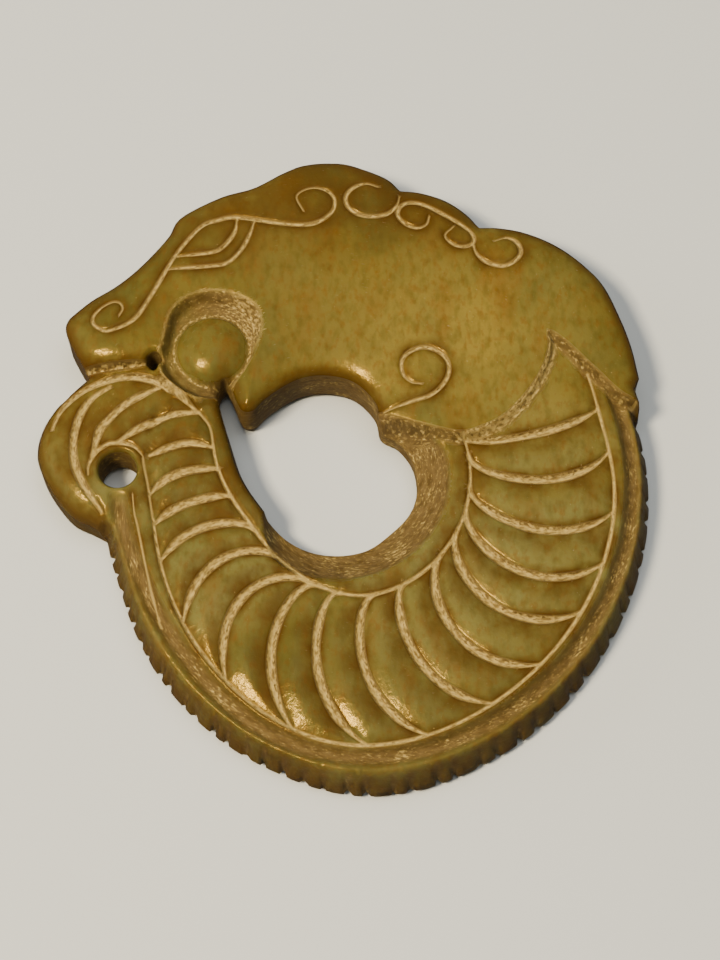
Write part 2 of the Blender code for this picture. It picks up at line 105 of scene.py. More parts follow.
# Incised lines of the head, in thousandths of the ring's width
HEAD_LINES: dict[str, Knots] = {
    "brow and snout curl": (
        (-370, 242), (-365, 254), (-370, 265), (-382, 268), (-399, 259), (-412, 243), (-413, 228),
        (-401, 217), (-384, 214), (-345, 235), (-316, 283), (-280, 354), (-241, 404), (-213, 417),
        (-179, 422), (-101, 410), (-60, 409), (-36, 418), (-19, 435), (-16, 455), (-26, 470),
        (-46, 478), (-67, 474), (-80, 460), (-68, 434)),
    "inner eye line": ((-179, 419), (-183, 394), (-199, 370), (-220, 357), (-276, 350)),
    "outer eye line": (
        (-150, 415), (-158, 389), (-171, 362), (-192, 339), (-218, 332), (-295, 326)),
    "first crest curl": (
        (56, 483), (37, 488), (16, 479), (3, 462), (6, 443), (23, 428), (50, 424), (74, 430),
        (89, 447), (93, 464)),
    "second crest curl": (
        (143, 425), (138, 409), (122, 402), (102, 410), (90, 427), (95, 444), (112, 452),
        (140, 445), (198, 410), (216, 391), (214, 374), (197, 368), (179, 374), (169, 389),
        (182, 405)),
    "third crest curl": (
        (215, 376), (221, 355), (237, 339), (264, 332), (285, 342), (295, 359), (289, 378),
        (272, 387), (254, 381)),
    "shoulder curl": (
        (125, 119), (110, 122), (97, 136), (95, 159), (108, 176), (131, 184), (154, 177),
        (170, 159), (171, 136), (159, 114), (140, 98), (113, 89), (66, 73)),
    "ring round the hanging hole": (
        (-412, -32), (-412, -15), (-402, 5), (-389, 17), (-374, 23), (-343, 19), (-325, 1)),
}

# Crust along the foot of the channel's inner side
CHANNEL_FOOT = ((-339, -66), (-335, -98), (-329, -121), (-316, -179), (-303, -232), (-288, -285))

# Incised lines of the tail, which are as wide as the ribs
TAIL_LINES: dict[str, Knots] = {
    "upper edge of the tail": (
        (-474, 50), (-465, 78), (-448, 100), (-428, 116), (-412, 124), (-393, 131), (-366, 138),
        (-338, 139), (-308, 131), (-281, 116), (-255, 94), (-237, 76)),
    "outer line of the tail": (
        (-383, 121), (-410, 102), (-429, 72), (-438, 30), (-434, -15), (-416, -54), (-389, -92)),
    "middle line of the tail": (
        (-301, 121), (-341, 101), (-365, 83), (-383, 63), (-397, 43), (-407, 1)),
    "inner line of the tail": ((-238, 76), (-264, 75), (-288, 69), (-335, 47), (-366, 25)),
    "first rib of the tail": ((-212, 15), (-240, 22), (-268, 20), (-315, 2)),
}

# Ribs: degrees at the inner border, at the far point of the bow, and at the outer border
RIBS = (
    (14.5, 10.4, 14.0), (6.2, -3.9, 4.0), (-8.8, -18.9, -9.4), (-17.7, -31.9, -20.9),
    (-28.8, -44.0, -32.2), (-41.1, -56.9, -45.9), (-61.7, -69.8, -58.4), (-74.3, -83.9, -72.6),
    (-89.4, -97.2, -84.5), (-98.1, -110.4, -99.4), (-98.4, -124.4, -116.3),
    (-118.7, -140.0, -133.2), (-139.7, -154.5, -150.9), (-163.6, -166.3, -162.0),
    (-179.3, -178.9, -171.4))
RIB_BOW_SHARE = 0.65
RING_CENTRE = (-5, -20)


class Section(Enum):
    """How a cut is shaped and filled across.

    The values are the share of its half width that is floor, the shares where its crust starts to
    thin and where it ends, and how far soil stain with painted shade darkens the polish on its
    right and on its left.
    """

    INCISED = (0.12, 0.3, 1.0, 0.75 * MM, 0.75 * MM)
    GROUND = (0.3, 0.4, 1.15, 1.9 * MM, 0.5 * MM)


class Edge(Enum):
    """The carving's edges in plan, each with how far the wall's middle stands out into the air."""

    OUTSIDE = -0.02 * MM
    OPENING = 0.12 * MM
    HANGING_HOLE = 0.16 * MM
    PIERCED_HOLE = 0.1 * MM


def linear(code: str) -> tuple[float, float, float, float]:
    """An sRGB hex value as linear light.

    Args:
        code: The colour, such as "#8a7230".

    Returns:
        Red, green, blue and alpha.
    """
    parts = [int(code[k:k + 2], 16) / 255 for k in (1, 3, 5)]
    light = [c / 12.92 if c <= 0.04045 else ((c + 0.055) / 1.055) ** 2.4 for c in parts]
    return (light[0], light[1], light[2], 1.0)


def ease(value: Array, low: float, high: float) -> Array:
    """A smooth rise from 0 at low to 1 at high.

    Args:
        value: What is eased.
        low: Where the rise starts.
        high: Where it ends.

    Returns:
        The eased share, from 0 to 1.
    """
    share = np.clip((value - low) / (high - low), 0, 1)
    return share * share * (3 - 2 * share)


def smooth(points: Array, closed: bool = False, steps: int = 12) -> Array:
    """A Catmull-Rom curve through points.

    Args:
        points: The points that the curve passes through.
        closed: Whether it returns to its first point.
        steps: How many points each span is drawn with.

    Returns:
        The curve as a dense polyline.
    """
    points = np.asarray(points, float)
    if closed:
        padded = np.concatenate([points[-1:], points, points[:2]])
    else:
        padded = np.concatenate([2 * points[:1] - points[1:2], points, 2 * points[-1:] - points[-2:-1]])
    t = np.linspace(0, 1, steps, endpoint=False)[:, None]
    spans = []
    for a, b, c, d in zip(padded, padded[1:], padded[2:], padded[3:]):
        spans.append(0.5 * (2 * b + (c - a) * t + (2 * a - 5 * b + 4 * c - d) * t ** 2
                            + (3 * b - a - 3 * c + d) * t ** 3))
    line = np.concatenate(spans)
    return line if closed else np.concatenate([line, points[-1:]])


def run_lengths(line: Array) -> Array:
    """Distance along a polyline at each of its points."""
    return np.concatenate([[0], np.cumsum(np.linalg.norm(np.diff(line, axis=0), axis=1))])


def resampled(line: Array, step: float, closed: bool = False) -> Array:
    """The same line with points an even distance apart.

    Args:
        line: The polyline.
        step: The spacing wanted.
        closed: Whether its last point joins its first.

    Returns:
        The evenly spaced points, with the ends of an open line kept.
    """
    if closed:
        line = np.concatenate([line, line[:1]])
    length = run_lengths(line)
    at = np.linspace(0, length[-1], max(2, round(length[-1] / step) + 1))
    even = np.stack([np.interp(at, length, line[:, k]) for k in (0, 1)], -1)
    return even[:-1] if closed else even


def offset(line: Array, distance: float | Array, closed: bool = False) -> Array:
    """A line moved sideways to its left.

    Args:
        line: The polyline.
        distance: How far, at all of its points or at each.
        closed: Whether its last point joins its first.

    Returns:
        The moved points.
    """
    along = np.roll(line, -1, 0) - np.roll(line, 1, 0) if closed else np.gradient(line, axis=0)
    along /= np.maximum(np.linalg.norm(along, axis=1), 1e-12)[:, None]
    return line + np.stack([-along[:, 1], along[:, 0]], -1) * np.reshape(distance, (-1, 1))


def inside(points: Array, loop: Array) -> Array:
    """Whether each point lies inside a closed loop.

    Args:
        points: Plan points.
        loop: The loop's corners.

    Returns:
        True for each point inside.
    """
    result = np.zeros(len(points), bool)
    for (x0, y0), (x1, y1) in zip(loop, np.roll(loop, -1, 0)):
        if y0 == y1:
            continue
        crosses = (y0 > points[:, 1]) != (y1 > points[:, 1])
        result ^= crosses & (points[:, 0] < x0 + (points[:, 1] - y0) * (x1 - x0) / (y1 - y0))
    return result


def ripple(points: Array, size: float | Pair, seed: float) -> Array:
    """Smooth noise over plan points.

    Args:
        points: Plan points, in metres.
        size: Size of its lumps in metres, or one size for each direction.
        seed: Which noise.

    Returns:
        Values from about -1 to 1.
    """
    scaled = points / np.asarray(size)
    return np.array([noise.noise(Vector((x, y, seed))) for x, y in scaled])


@dataclass(frozen=True)
class Plan:
    """The ring's plan: turns shares of its width and angles about its centre into metres.

    Args:
        width: Width of the ring across its rim and snout.
    """

    width: float = 67.0 * MM

    def at(self, *points: Pair) -> Array:
        """Points given in thousandths of the width, in metres."""
        return np.array(points, float) * self.width / 1000

    def place(self, points: Array) -> tuple[Array, Array]:
        """Angle and radius about the body's own centre.

        Args:
            points: Plan points.

        Returns:
            Degrees, from 60 down to -300, and radii.
        """
        away = points - self.at(RING_CENTRE)[0]
        degrees = np.degrees(np.arctan2(away[:, 1], away[:, 0]))
        return np.where(degrees > 60, degrees - 360, degrees), np.hypot(away[:, 0], away[:, 1])

    def point(self, degrees: Array, radius: Array) -> Array:
        """Plan points at angles and radii about the body's centre."""
        angle = np.radians(degrees)
        return self.at(RING_CENTRE)[0] + np.stack([np.cos(angle), np.sin(angle)], -1) * radius[..., None]

    def circle(self, centre: Pair, diameter: float, step: float) -> Array:
        """A circle as a closed loop, counter-clockwise so that its left is air.

        Args:
            centre: Its centre in thousandths of the width.
            diameter: Its diameter in metres.
            step: Spacing of its points.

        Returns:
            The loop's points.
        """
        count = max(8, round(math.pi * diameter / step))
        angle = np.linspace(0, 2 * math.pi, count, endpoint=False)
        return self.at(centre)[0] + np.stack([np.cos(angle), np.sin(angle)], -1) * diameter / 2


PLAN = Plan()


@dataclass(frozen=True)
class RingCurve:
    """A curve that follows the coiled body.

    Args:
        knots: Degrees about the body's centre, with radius in thousandths of the width.
    """

    knots: Knots

    def radius(self, degrees: Array) -> Array:
        """Its radius at each angle, in metres."""
        line = smooth(np.array(sorted(self.knots)))
        return np.interp(degrees, line[:, 0], line[:, 1]) * PLAN.width / 1000

    def line(self) -> Array:
        """The whole curve as a dense polyline."""
        degrees = np.linspace(self.knots[0][0], self.knots[-1][0], 400)
        return PLAN.point(degrees, self.radius(degrees))

    def covers(self, degrees: Array) -> Array:
        """Whether each angle lies between the curve's ends."""
        return (degrees < self.knots[0][0]) & (degrees > self.knots[-1][0])


RIM = RingCurve((
    (16, 501), (0, 506), (-30, 511), (-60, 521), (-84, 524), (-105, 487), (-130, 439), (-151, 402),
    (-165, 393)))
CHANNEL = RingCurve((
    (16, 467), (0, 473), (-30, 478), (-70, 484), (-90, 473), (-104, 452), (-119, 416), (-136, 382),
    (-154, 365), (-175, 361)))
OUTER_BORDER = RingCurve((
    (22, 437), (10, 433), (-8, 445), (-30, 452), (-50, 457), (-75, 464), (-91, 455), (-105, 427),
    (-122, 385), (-142, 343), (-160, 316), (-173, 311), (-183, 320)))
INNER_BORDER = RingCurve((
    (15, 207), (-7, 211), (-30, 216), (-60, 222), (-80, 220), (-98, 205), (-119, 184), (-140, 174),
    (-152, 175), (-166, 184), (-180, 198), (-197, 220), (-203, 251)))
FLUTE = RingCurve((
    (50, 104), (44, 116), (34, 134), (25, 152), (15, 168), (8, 176), (-8, 181), (-30, 186),
    (-60, 190), (-91, 192), (-117, 192), (-130, 178), (-141, 158), (-150, 141)))


class Nearness:
    """Distances from plan points to one polyline."""

    def __init__(self, line: Array, closed: bool = False, spacing: float = 0.05 * MM) -> None:
        """Lays the line's points in a tree.

        Args:
            line: The polyline.
            closed: Whether its last point joins its first.
            spacing: Spacing of the points that stand for it.
        """
        self.line = resampled(line, spacing, closed)
        self.tree = KDTree(len(self.line))
        for index, (x, y) in enumerate(self.line):
            self.tree.insert((x, y, 0), index)
        self.tree.balance()
        self.share = np.linspace(0, 1, len(self.line))

    def of(self, points: Array, reach: float = 1.0) -> tuple[Array, Array]:
        """Distance to the line, and where along it the nearest point is.

        Args:
            points: Plan points.
            reach: How far away a point is worth measuring.

        Returns:
            Distances, which are the reach where they would be more, and shares of the line's length.
        """
        low, high = self.line.min(0) - reach, self.line.max(0) + reach
        near = np.flatnonzero(((points > low) & (points < high)).all(axis=1))
        distance = np.full(len(points), reach)
        share = np.zeros(len(points))
        for index in near:
            x, y = points[index]
            _, nearest, away = self.tree.find((x, y, 0))
            distance[index] = min(away, reach)
            share[index] = self.share[nearest]
        return distance, share

    def side(self, points: Array, share: Array) -> Array:
        """Which side of the line each point lies on.

        Args:
            points: Plan points.
            share: Where along the line the nearest point to each is.

        Returns:
            1 on the line's left and -1 on its right.
        """
        nearest = np.rint(share * (len(self.line) - 1)).astype(int)
        along = np.gradient(self.line, axis=0)[nearest]
        away = points - self.line[nearest]
        return np.where(along[:, 0] * away[:, 1] > along[:, 1] * away[:, 0], 1.0, -1.0)


@dataclass
class Cut:
    """One incised line or rib groove.

    Args:
        line: Its centre line in plan.
        width: Its width at the widest.
        depth: Its depth at the deepest.
        ends: The share of the width that is left at its two ends.
        section: How it is shaped across.
        seed: Which wobble its hand-cut edges have.
        crusted: How full of dry crust it is.
        reach: How far from its line anything of it is looked for.
    """

    line: Array
    width: float
    depth: float
    ends: Pair = (0.5, 0.5)
    section: Section = Section.INCISED
    seed: float = 0.0
    crusted: float = 0.85
    reach: float = 4 * MM
    nearness: Nearness = field(init=False)
    length: float = field(init=False)

    def __post_init__(self) -> None:
        """Measures the line once."""
        self.nearness = Nearness(self.line)
        self.length = run_lengths(self.line)[-1]

    def scale(self, share: Array) -> Array:
        """How wide and deep it is along its length, as a share of its most.

        Args:
            share: Places along the line.

        Returns:
            The share of the full width at each place.
        """
        rise = ease(share, 0, 0.25) * ease(1 - share, 0, 0.25)
        ends = self.ends[0] + (self.ends[1] - self.ends[0]) * share
        run = share * self.length
        wobble = sum(size * np.sin(run / (length * MM) + self.seed * turn)
                     for size, length, turn in ((0.05, 1.9, 7), (0.04, 0.83, 3)))
        return (ends + (1 - ends) * rise) * (1 + wobble)

    def press(self, points: Array) -> dict[str, Array]:
        """What the cut takes from the surface.

        Args:
            points: Plan points.

        Returns:
            Its depth, how much crust it has, how rough it is, how much soil stain and painted shade
            darken the polish beside it, the distance past its edge, and places along and across it.
        """
        distance, share = self.nearness.of(points, self.reach)
        side = self.nearness.side(points, share)
        scale = self.scale(share)
        half = 0.5 * self.width * scale
        across = distance / half
        floor, thins, bare, stain_and_shade_right, stain_and_shade_left = self.section.value
        crust = self.crusted * (1 - ease(across, thins, bare))
        if self.section is Section.GROUND:
            # A groove keeps less crust on its left, where the tool leant
            crust *= 1 - 0.3 * ease(across * side, -0.1, 0.3) * (1 - ease(across * side, 0.6, 0.9))
        beside = np.maximum(distance - half, 0)
        # Brown beside the cut: soil stain with painted shade, wider on one side, and a thin painted
        # shadow at its edge
        wide = np.exp(-(beside / np.where(side < 0, stain_and_shade_right, stain_and_shade_left)) ** 2)
        painted_edge_shadow = np.exp(-(beside / (0.2 * MM)) ** 2)
        return {
            "depth": self.depth * np.sqrt(scale) * (1 - ease(across, floor, 1.0)),
            "crust": crust,
            "rough": 0.8 * (1 - ease(across, 0.75, 1.05)),
            "stain_and_shade": (0.8 * wide + 0.2 * painted_edge_shadow) * (distance < self.reach),
            "beside": beside,
            "along": share * self.length + self.seed * 10 * MM,
            "across": distance * side}


@dataclass
class Carving:
    """All the sizes of the carved front and the plain back, in metres.

    Args:
        head: Thickness at the head.
        body: Thickness at the ribbed body.
        rim: Thickness at the notched ridge.
        head_edge: Reach and drop of the head's rounded edge.
        body_edge: Reach and drop of the body's edge at the opening.
        rim_face: Reach and drop of the rim's sloped face.
        tail_edge: Reach and drop of the tail's rounded edge.
        back_edge: Reach and drop of the back's rounded edges.
        rib_width: Width of the rib grooves.
        rib_depth: Their depth.
        segment_rise: How far the pillows between the ribs rise.
        segment_rounding: How far in from a groove a pillow is rounded.
        border_lip: Where the pillows start to rise beside a border, and where they are full.
        outer_fall: How far the pillows fall towards the outer border.
        border_width: Width of the two border lines.
        border_depth: Their depth.
        line_width: Width of the head's incised lines.
        line_depth: Their depth.
        head_step_width: Width of the slope from the head down to the body.
        channel_width: Width of the channel inside the rim.
        channel_depth: Its depth.
        channel_end: Where the channel starts and is full, from the hanging hole.
        notch_pitch: Spacing of the nicks.
        notch_width: Width of a nick.
        nick_reach: How far a nick reaches in from the rim.
        notch_depth: How far a nick cuts into the outline.
        flute_lip: Height of the hollow's lip at the opening.
        boss_diameter: Diameter of the round boss.
        boss_rise: How far it rises from the recess.
        boss_moat: Where the ground ring round the boss starts to end, and where it ends.
        recess_depth: Depth of the recess.
        recess_wall: Width of its sloped wall.
        hanging_hole: Diameter of the hanging hole.
        hanging_mouth: Rounding of its mouth.
        pierced_hole: Diameter of the small hole at the mouth's corner.
        pierced_mouth: Rounding of its mouth.
        mouth_width: Width of the seam under the snout.
        mouth_depth: Its depth.
        lip: Reach and drop of the rounding beside that seam.
        pitting: Waviness of the ground surfaces.
        polish_wave: Waviness of the polished ones.
    """

    head: float = 8.0 * MM
    body: float = 7.0 * MM
    rim: float = 6.3 * MM
    head_edge: Pair = (5.0 * MM, 1.7 * MM)
    body_edge: Pair = (1.1 * MM, 1.2 * MM)
    rim_face: Pair = (1.45 * MM, 4.6 * MM)
    tail_edge: Pair = (3.0 * MM, 2.4 * MM)
    back_edge: Pair = (1.4 * MM, 1.1 * MM)
    rib_width: float = 1.15 * MM
    rib_depth: float = 0.45 * MM
    segment_rise: float = 0.4 * MM
    segment_rounding: float = 2.6 * MM
    border_lip: Pair = (-0.2 * MM, 0.4 * MM)
    outer_fall: float = 0.4 * MM
    border_width: float = 0.58 * MM
    border_depth: float = 0.3 * MM
    line_width: float = 0.66 * MM
    line_depth: float = 0.3 * MM
    head_step_width: float = 0.7 * MM
    channel_width: float = 2.6 * MM
    channel_depth: float = 0.9 * MM
    channel_end: Pair = (0.1 * MM, 2.4 * MM)
    notch_pitch: float = 2.4 * MM
    notch_width: float = 0.85 * MM
    nick_reach: float = 1.6 * MM
    notch_depth: float = 0.44 * MM
    flute_lip: float = 3.6 * MM
    boss_diameter: float = 7.9 * MM
    boss_rise: float = 1.68 * MM
    boss_moat: Pair = (0.35 * MM, 0.85 * MM)
    recess_depth: float = 1.7 * MM
    recess_wall: float = 1.1 * MM
    hanging_hole: float = 4.2 * MM
    hanging_mouth: float = 0.5 * MM
    pierced_hole: float = 1.8 * MM
    pierced_mouth: float = 0.5 * MM
    mouth_width: float = 1.0 * MM
    mouth_depth: float = 0.6 * MM
    lip: Pair = (2.4 * MM, 1.5 * MM)
    pitting: float = 0.035 * MM
    polish_wave: float = 0.025 * MM


@dataclass(frozen=True)
class Soil:
    """How much dry crust, rough ground, brown stain and painted shade each part of the carving has,
    as shares.

    Args:
        step: Crust on the band below the head.
        step_curve: How much more its curved stretch has.
        step_rough: How rough the band is.
        step_band: Where the band starts from below, in two distances past the head's edge, and
            where it ends in two more.
        step_curved: Where along the band the curved stretch starts and ends, as shares likewise.
        step_flakes: How near the step its own flakes are, and the length they are laid out over.
        boss_flakes: Radius that the flakes round the boss are laid out at.
        recess: Crust over the recess, then how much more in patches and towards its right.
        recess_left: How rough the recess is at its left.
        recess_rim: Crust along the recess's rim.
        rim_line: Where it starts to thin, and where it ends.
        boss_ring: Crust along the boss's foot.
        ring_line: Where it starts to thin, and where it ends.
        ground: Crust over the channel and the hollow, then how much more in patches.
        rim_rough: How rough the ridge is.
        nick_rough: How rough the nicks are.
        patch: Size of the patches.
        edge: Brown stain along every edge.
        edge_reach: Where it starts to thin, and where it ends.
        crest: Painted shade, in brown, at the crest of the head.
        crest_reach: How far up the plan it starts, and where it is full.
        wall_edge: Brown stain on the outer wall, deepened with painted shade.
        wall_stain_and_shade: Darker brown on every wall, stain with painted shade.
        wall_nick: Crust in the nicks of the outer wall.
        wall_rough: How rough the outer wall is, then how much more in its nicks.
        bore: Crust on the walls of the opening and the holes, then how much more in patches.
        bore_rough: How rough those walls are.
    """

    step: float = 0.3
    step_curve: float = 0.36
    step_rough: float = 0.9
    step_band: tuple[float, float, float, float] = (-1.15 * MM, -0.65 * MM, -0.1 * MM, 0.2 * MM)
    step_curved: tuple[float, float, float, float] = (0.18, 0.3, 0.64, 0.7)
    step_flakes: Pair = (1.4 * MM, 40 * MM)
    boss_flakes: float = 6 * MM
    recess: Triple = (0.14, 0.12, 0.3)
    recess_left: float = 0.55
    recess_rim: float = 0.5
    rim_line: Pair = (0.05 * MM, 0.45 * MM)
    boss_ring: float = 0.56
    ring_line: Pair = (0.06 * MM, 0.34 * MM)
    ground: Pair = (0.18, 0.24)
    patch: float = 2.4 * MM
    rim_rough: float = 0.1
    nick_rough: float = 0.6
    edge: float = 0.85
    edge_reach: Pair = (0.2 * MM, 1.6 * MM)
    crest: float = 0.7
    crest_reach: Pair = (20 * MM, 31 * MM)
    wall_edge: float = 0.75
    wall_stain_and_shade: float = 0.3
    wall_nick: float = 0.5
    wall_rough: Pair = (0.1, 0.4)
    bore: Pair = (0.16, 0.26)
    bore_rough: float = 0.85


def rounding(distance: Array, edge: Pair) -> Array:
    """How far a rounded edge falls.

    Args:
        distance: Distance in from the outline.
        edge: How far the rounding reaches in, and how far it drops.

    Returns:
        The fall at each point.
    """
    share = 1 - np.clip(distance / edge[0], 0, 1)
    return edge[1] * (1 - np.sqrt(1 - share ** 2))


class Survey:
    """What is measured at each plan point before anything is carved there.

    It keeps their angles and radii, their distance to each edge, what each cut presses there, how
    far each is on the head, its distance and place along the head's step, and its way from the boss.
    """

    def __init__(self, relief: "Relief", points: Array) -> None:
        """Measures the points.

        Args:
            relief: The carving.
            points: Plan points.
        """
        self.points = points
        self.degrees, self.radius = PLAN.place(points)
        self.to = {edge: near.of(points, 6 * MM)[0] for edge, near in relief.edges.items()}
        self.to_edge = np.minimum(self.to[Edge.OUTSIDE], self.to[Edge.OPENING])
        self.presses = [cut.press(points) for cut in relief.cuts]
        self.depths = self.pressed("depth")
        self.beside = self.pressed("beside").min(axis=0)
        side = np.where(inside(points, relief.step_line), 1, -1)
        over = side * relief.step.of(points, 2 * MM)[0]
        self.on_head = ease(over, -relief.size.head_step_width, 0)
        self.from_step, self.step_share = relief.head_step.of(points, 2 * MM)
        self.to_step = self.from_step * np.sign(over)
        self.from_boss = points - PLAN.at(BOSS)[0]
        self.to_boss = np.hypot(*self.from_boss.T)

    def pressed(self, key: str) -> Array:
        """One measure of every cut, a row for each."""
        return np.array([press[key] for press in self.presses])


class Relief:
    """The carved front: its height and what covers it, at any plan point."""

    def __init__(self, size: Carving, soil: Soil) -> None:
        """Draws the outlines, the cuts and the grounds.

        Args:
            size: The sizes of the carving.
            soil: How much crust and stain it has.
        """
        self.size = size
        self.soil = soil
        self.notches = self.notch_places()
        self.outline = self.outer_loop()
        self.opening = resampled(smooth(PLAN.at(*OPENING), closed=True), 0.3 * MM, closed=True)[::-1]
        self.hanging = PLAN.circle(HANGING_HOLE, size.hanging_hole, 0.3 * MM)
        self.pierced = PLAN.circle(PIERCED_HOLE, size.pierced_hole, 0.25 * MM)
        self.cuts = self.head_cuts() + self.body_cuts()
        self.mouth = Nearness(smooth(PLAN.at(*MOUTH)))
        self.channel = Nearness(CHANNEL.line())
        self.recess_line = smooth(PLAN.at(*RECESS), closed=True)
        self.recess = Nearness(self.recess_line, closed=True)
        self.step_line = np.concatenate([
            smooth(PLAN.at(*HEAD_STEP)), PLAN.at(*HEAD_BEYOND), smooth(PLAN.at(*MOUTH)),
            PLAN.at(PIERCED_HOLE, *RECESS[-1:-6:-1], *BRIDGE)])
        self.step = Nearness(self.step_line, closed=True)
        self.head_step = Nearness(smooth(PLAN.at(*HEAD_STEP[:-1])))
        self.edges = {edge: Nearness(loop, closed=True) for edge, loop in self.loops().items()}
        self.tail_edge = Nearness(smooth(PLAN.at(*TAIL)))
        self.rim_edge = Nearness(RIM.line())

    def loops(self) -> dict[Edge, Array]:
        """The outer edge, the central opening and the two drilled holes."""
        return dict(zip(Edge, (self.outline, self.opening, self.hanging, self.pierced)))

    def notch_places(self) -> Array:
        """Spaces the notches along the rim.

        Returns:
            Their angles in degrees.
        """
        degrees = np.linspace(RIM.knots[0][0], RIM.knots[-1][0], 900)
        length = run_lengths(PLAN.point(degrees, RIM.radius(degrees)))
        count = int((length[-1] - self.size.notch_pitch) / self.size.notch_pitch)
        share = (np.arange(count) + 1 + 0.12 * np.sin(np.arange(count) * 2.9)) / (count + 1)
        return np.interp(share * (1 + 0.2 * (1 - share)) * length[-1], length, degrees)

    def rim_stretch(self) -> Array:
        """The rim with a row of hand-cut nicks, no two quite alike.

        Returns:
            Its plan points.
        """
        size = self.size
        turned = [RIM.knots[0][0]]
        depth = [0.0]
        for index, middle in enumerate(self.notches):
            radius = RIM.radius(np.array([middle]))[0]
            width = size.notch_width * (1 + 0.3 * math.sin(index * 2.3))
            deep = size.notch_depth * (1 + 0.4 * math.sin(index * 1.7 + 1))
            for share in (1, 0.62, 0.3, 0, -0.3, -0.62, -1):
                turned.append(middle + math.degrees(share * width / 2 / radius))
                depth.append(deep * (1 - abs(share)) ** 0.8)
            if index + 1 < len(self.notches):
                after = self.notches[index + 1]
                for share in (0.35, 0.5, 0.65):
                    turned.append(middle + (after - middle) * share)
                    depth.append(-0.03 * MM)
        turned.append(RIM.knots[-1][0])
        depth.append(0.0)
        degrees = np.array(turned)
        return PLAN.point(degrees, RIM.radius(degrees) - np.array(depth))

    def outer_loop(self) -> Array:
        """The whole outer edge as one closed loop, clockwise from the chin.

        Returns:
            The loop's points.
        """
        step = 0.3 * MM
        joined = [resampled(smooth(PLAN.at(*CHIN)), step)]
        for knots in (FOREHEAD, CREST, NAPE):
            joined.append(resampled(smooth(PLAN.at(*knots)), step)[1:])
        joined.append(self.rim_stretch())
        joined.append(resampled(smooth(PLAN.at(*TAIL)), step)[:-1])
        return np.concatenate(joined)

    def head_cuts(self) -> list[Cut]:
        """Every incised line of the head and the tail.

        Returns:
            The cuts.
        """
        size = self.size
        cuts = [Cut(smooth(PLAN.at(*knots)), size.line_width, size.line_depth, (0.55, 0.45),
                    seed=index, crusted=0.74)
                for index, knots in enumerate(HEAD_LINES.values())]
        cuts += [Cut(smooth(PLAN.at(*knots)), 0.92 * size.rib_width, 0.85 * size.rib_depth,
                     section=Section.GROUND, seed=index + 10)
                 for index, knots in enumerate(TAIL_LINES.values())]
        return cuts

    def body_cuts(self) -> list[Cut]:
        """The ribs, the two borders, the channel's crust line and the seam under the snout.

        Returns:
            The cuts.
        """
        size = self.size
        cuts = []
        for index, (inner, far, outer) in enumerate(RIBS):
            bow = (8 * far - inner - outer) / 6
            t = np.linspace(0, 1, 60)
            weights = np.stack([(1 - t) ** 3, 3 * t * (1 - t) ** 2, 3 * t ** 2 * (1 - t), t ** 3], -1)
            degrees = weights @ np.array([inner, bow, bow, outer])
            share = weights @ np.array([0, 0, RIB_BOW_SHARE, 1])
            low, high = INNER_BORDER.radius(degrees), OUTER_BORDER.radius(degrees)
            line = PLAN.point(degrees, low + (high - low) * share)
            cuts.append(Cut(line, size.rib_width, size.rib_depth, (0.55, 0.35),
                            Section.GROUND, seed=index + 20))
        for index, curve in enumerate((INNER_BORDER, OUTER_BORDER)):
            cuts.append(Cut(curve.line(), size.border_width, size.border_depth, (0.7, 0.7),
                            seed=index + 50))
        cuts.append(Cut(smooth(PLAN.at(*CHANNEL_FOOT)), 0.6 * size.line_width, 0.4 * size.line_depth,
                        (0.6, 0.2), seed=55))
        cuts.append(Cut(smooth(PLAN.at(*MOUTH)), size.mouth_width, size.mouth_depth, (0.9, 0.7),
                        seed=60, crusted=0.5))
        return cuts

    def pillows(self, at: Survey) -> Array:
        """Height of the raised pillows between the ribs.

        Args:
            at: The surveyed points.

        Returns:
            The heights.
        """
        size = self.size
        low, high = INNER_BORDER.radius(at.degrees), OUTER_BORDER.radius(at.degrees)
        between = ease(at.radius - low, *size.border_lip) * ease(high - at.radius, *size.border_lip)
        crown = between * (1 - (1 - np.clip(at.beside / size.segment_rounding, 0, 1)) ** 2)
        share = np.clip((at.radius - low) / (high - low), 0, 1)
        fall = size.outer_fall * ease(share, 0.7, 1.05) * between
        return size.body - size.segment_rise * (1 - crown) - fall

    def nicks(self, at: Survey, to_rim: Array) -> Array:
        """How deep in a nick of the rim each point lies.

        Args:
            at: The surveyed points.
            to_rim: Their distance to the rim.

        Returns:
            Shares from 0 to 1.
        """
        size = self.size
        nearest = np.abs(at.degrees[:, None] - self.notches[None, :]).min(axis=1)
        half = 0.6 * size.notch_width * np.clip(1 - to_rim / size.nick_reach, 0.05, 1)
        nicked = 1 - ease(np.radians(nearest) * at.radius, 0.1 * half, half)
        nicked *= 1 - ease(to_rim, 0.6 * size.nick_reach, size.nick_reach)
        return nicked * RIM.covers(at.degrees)

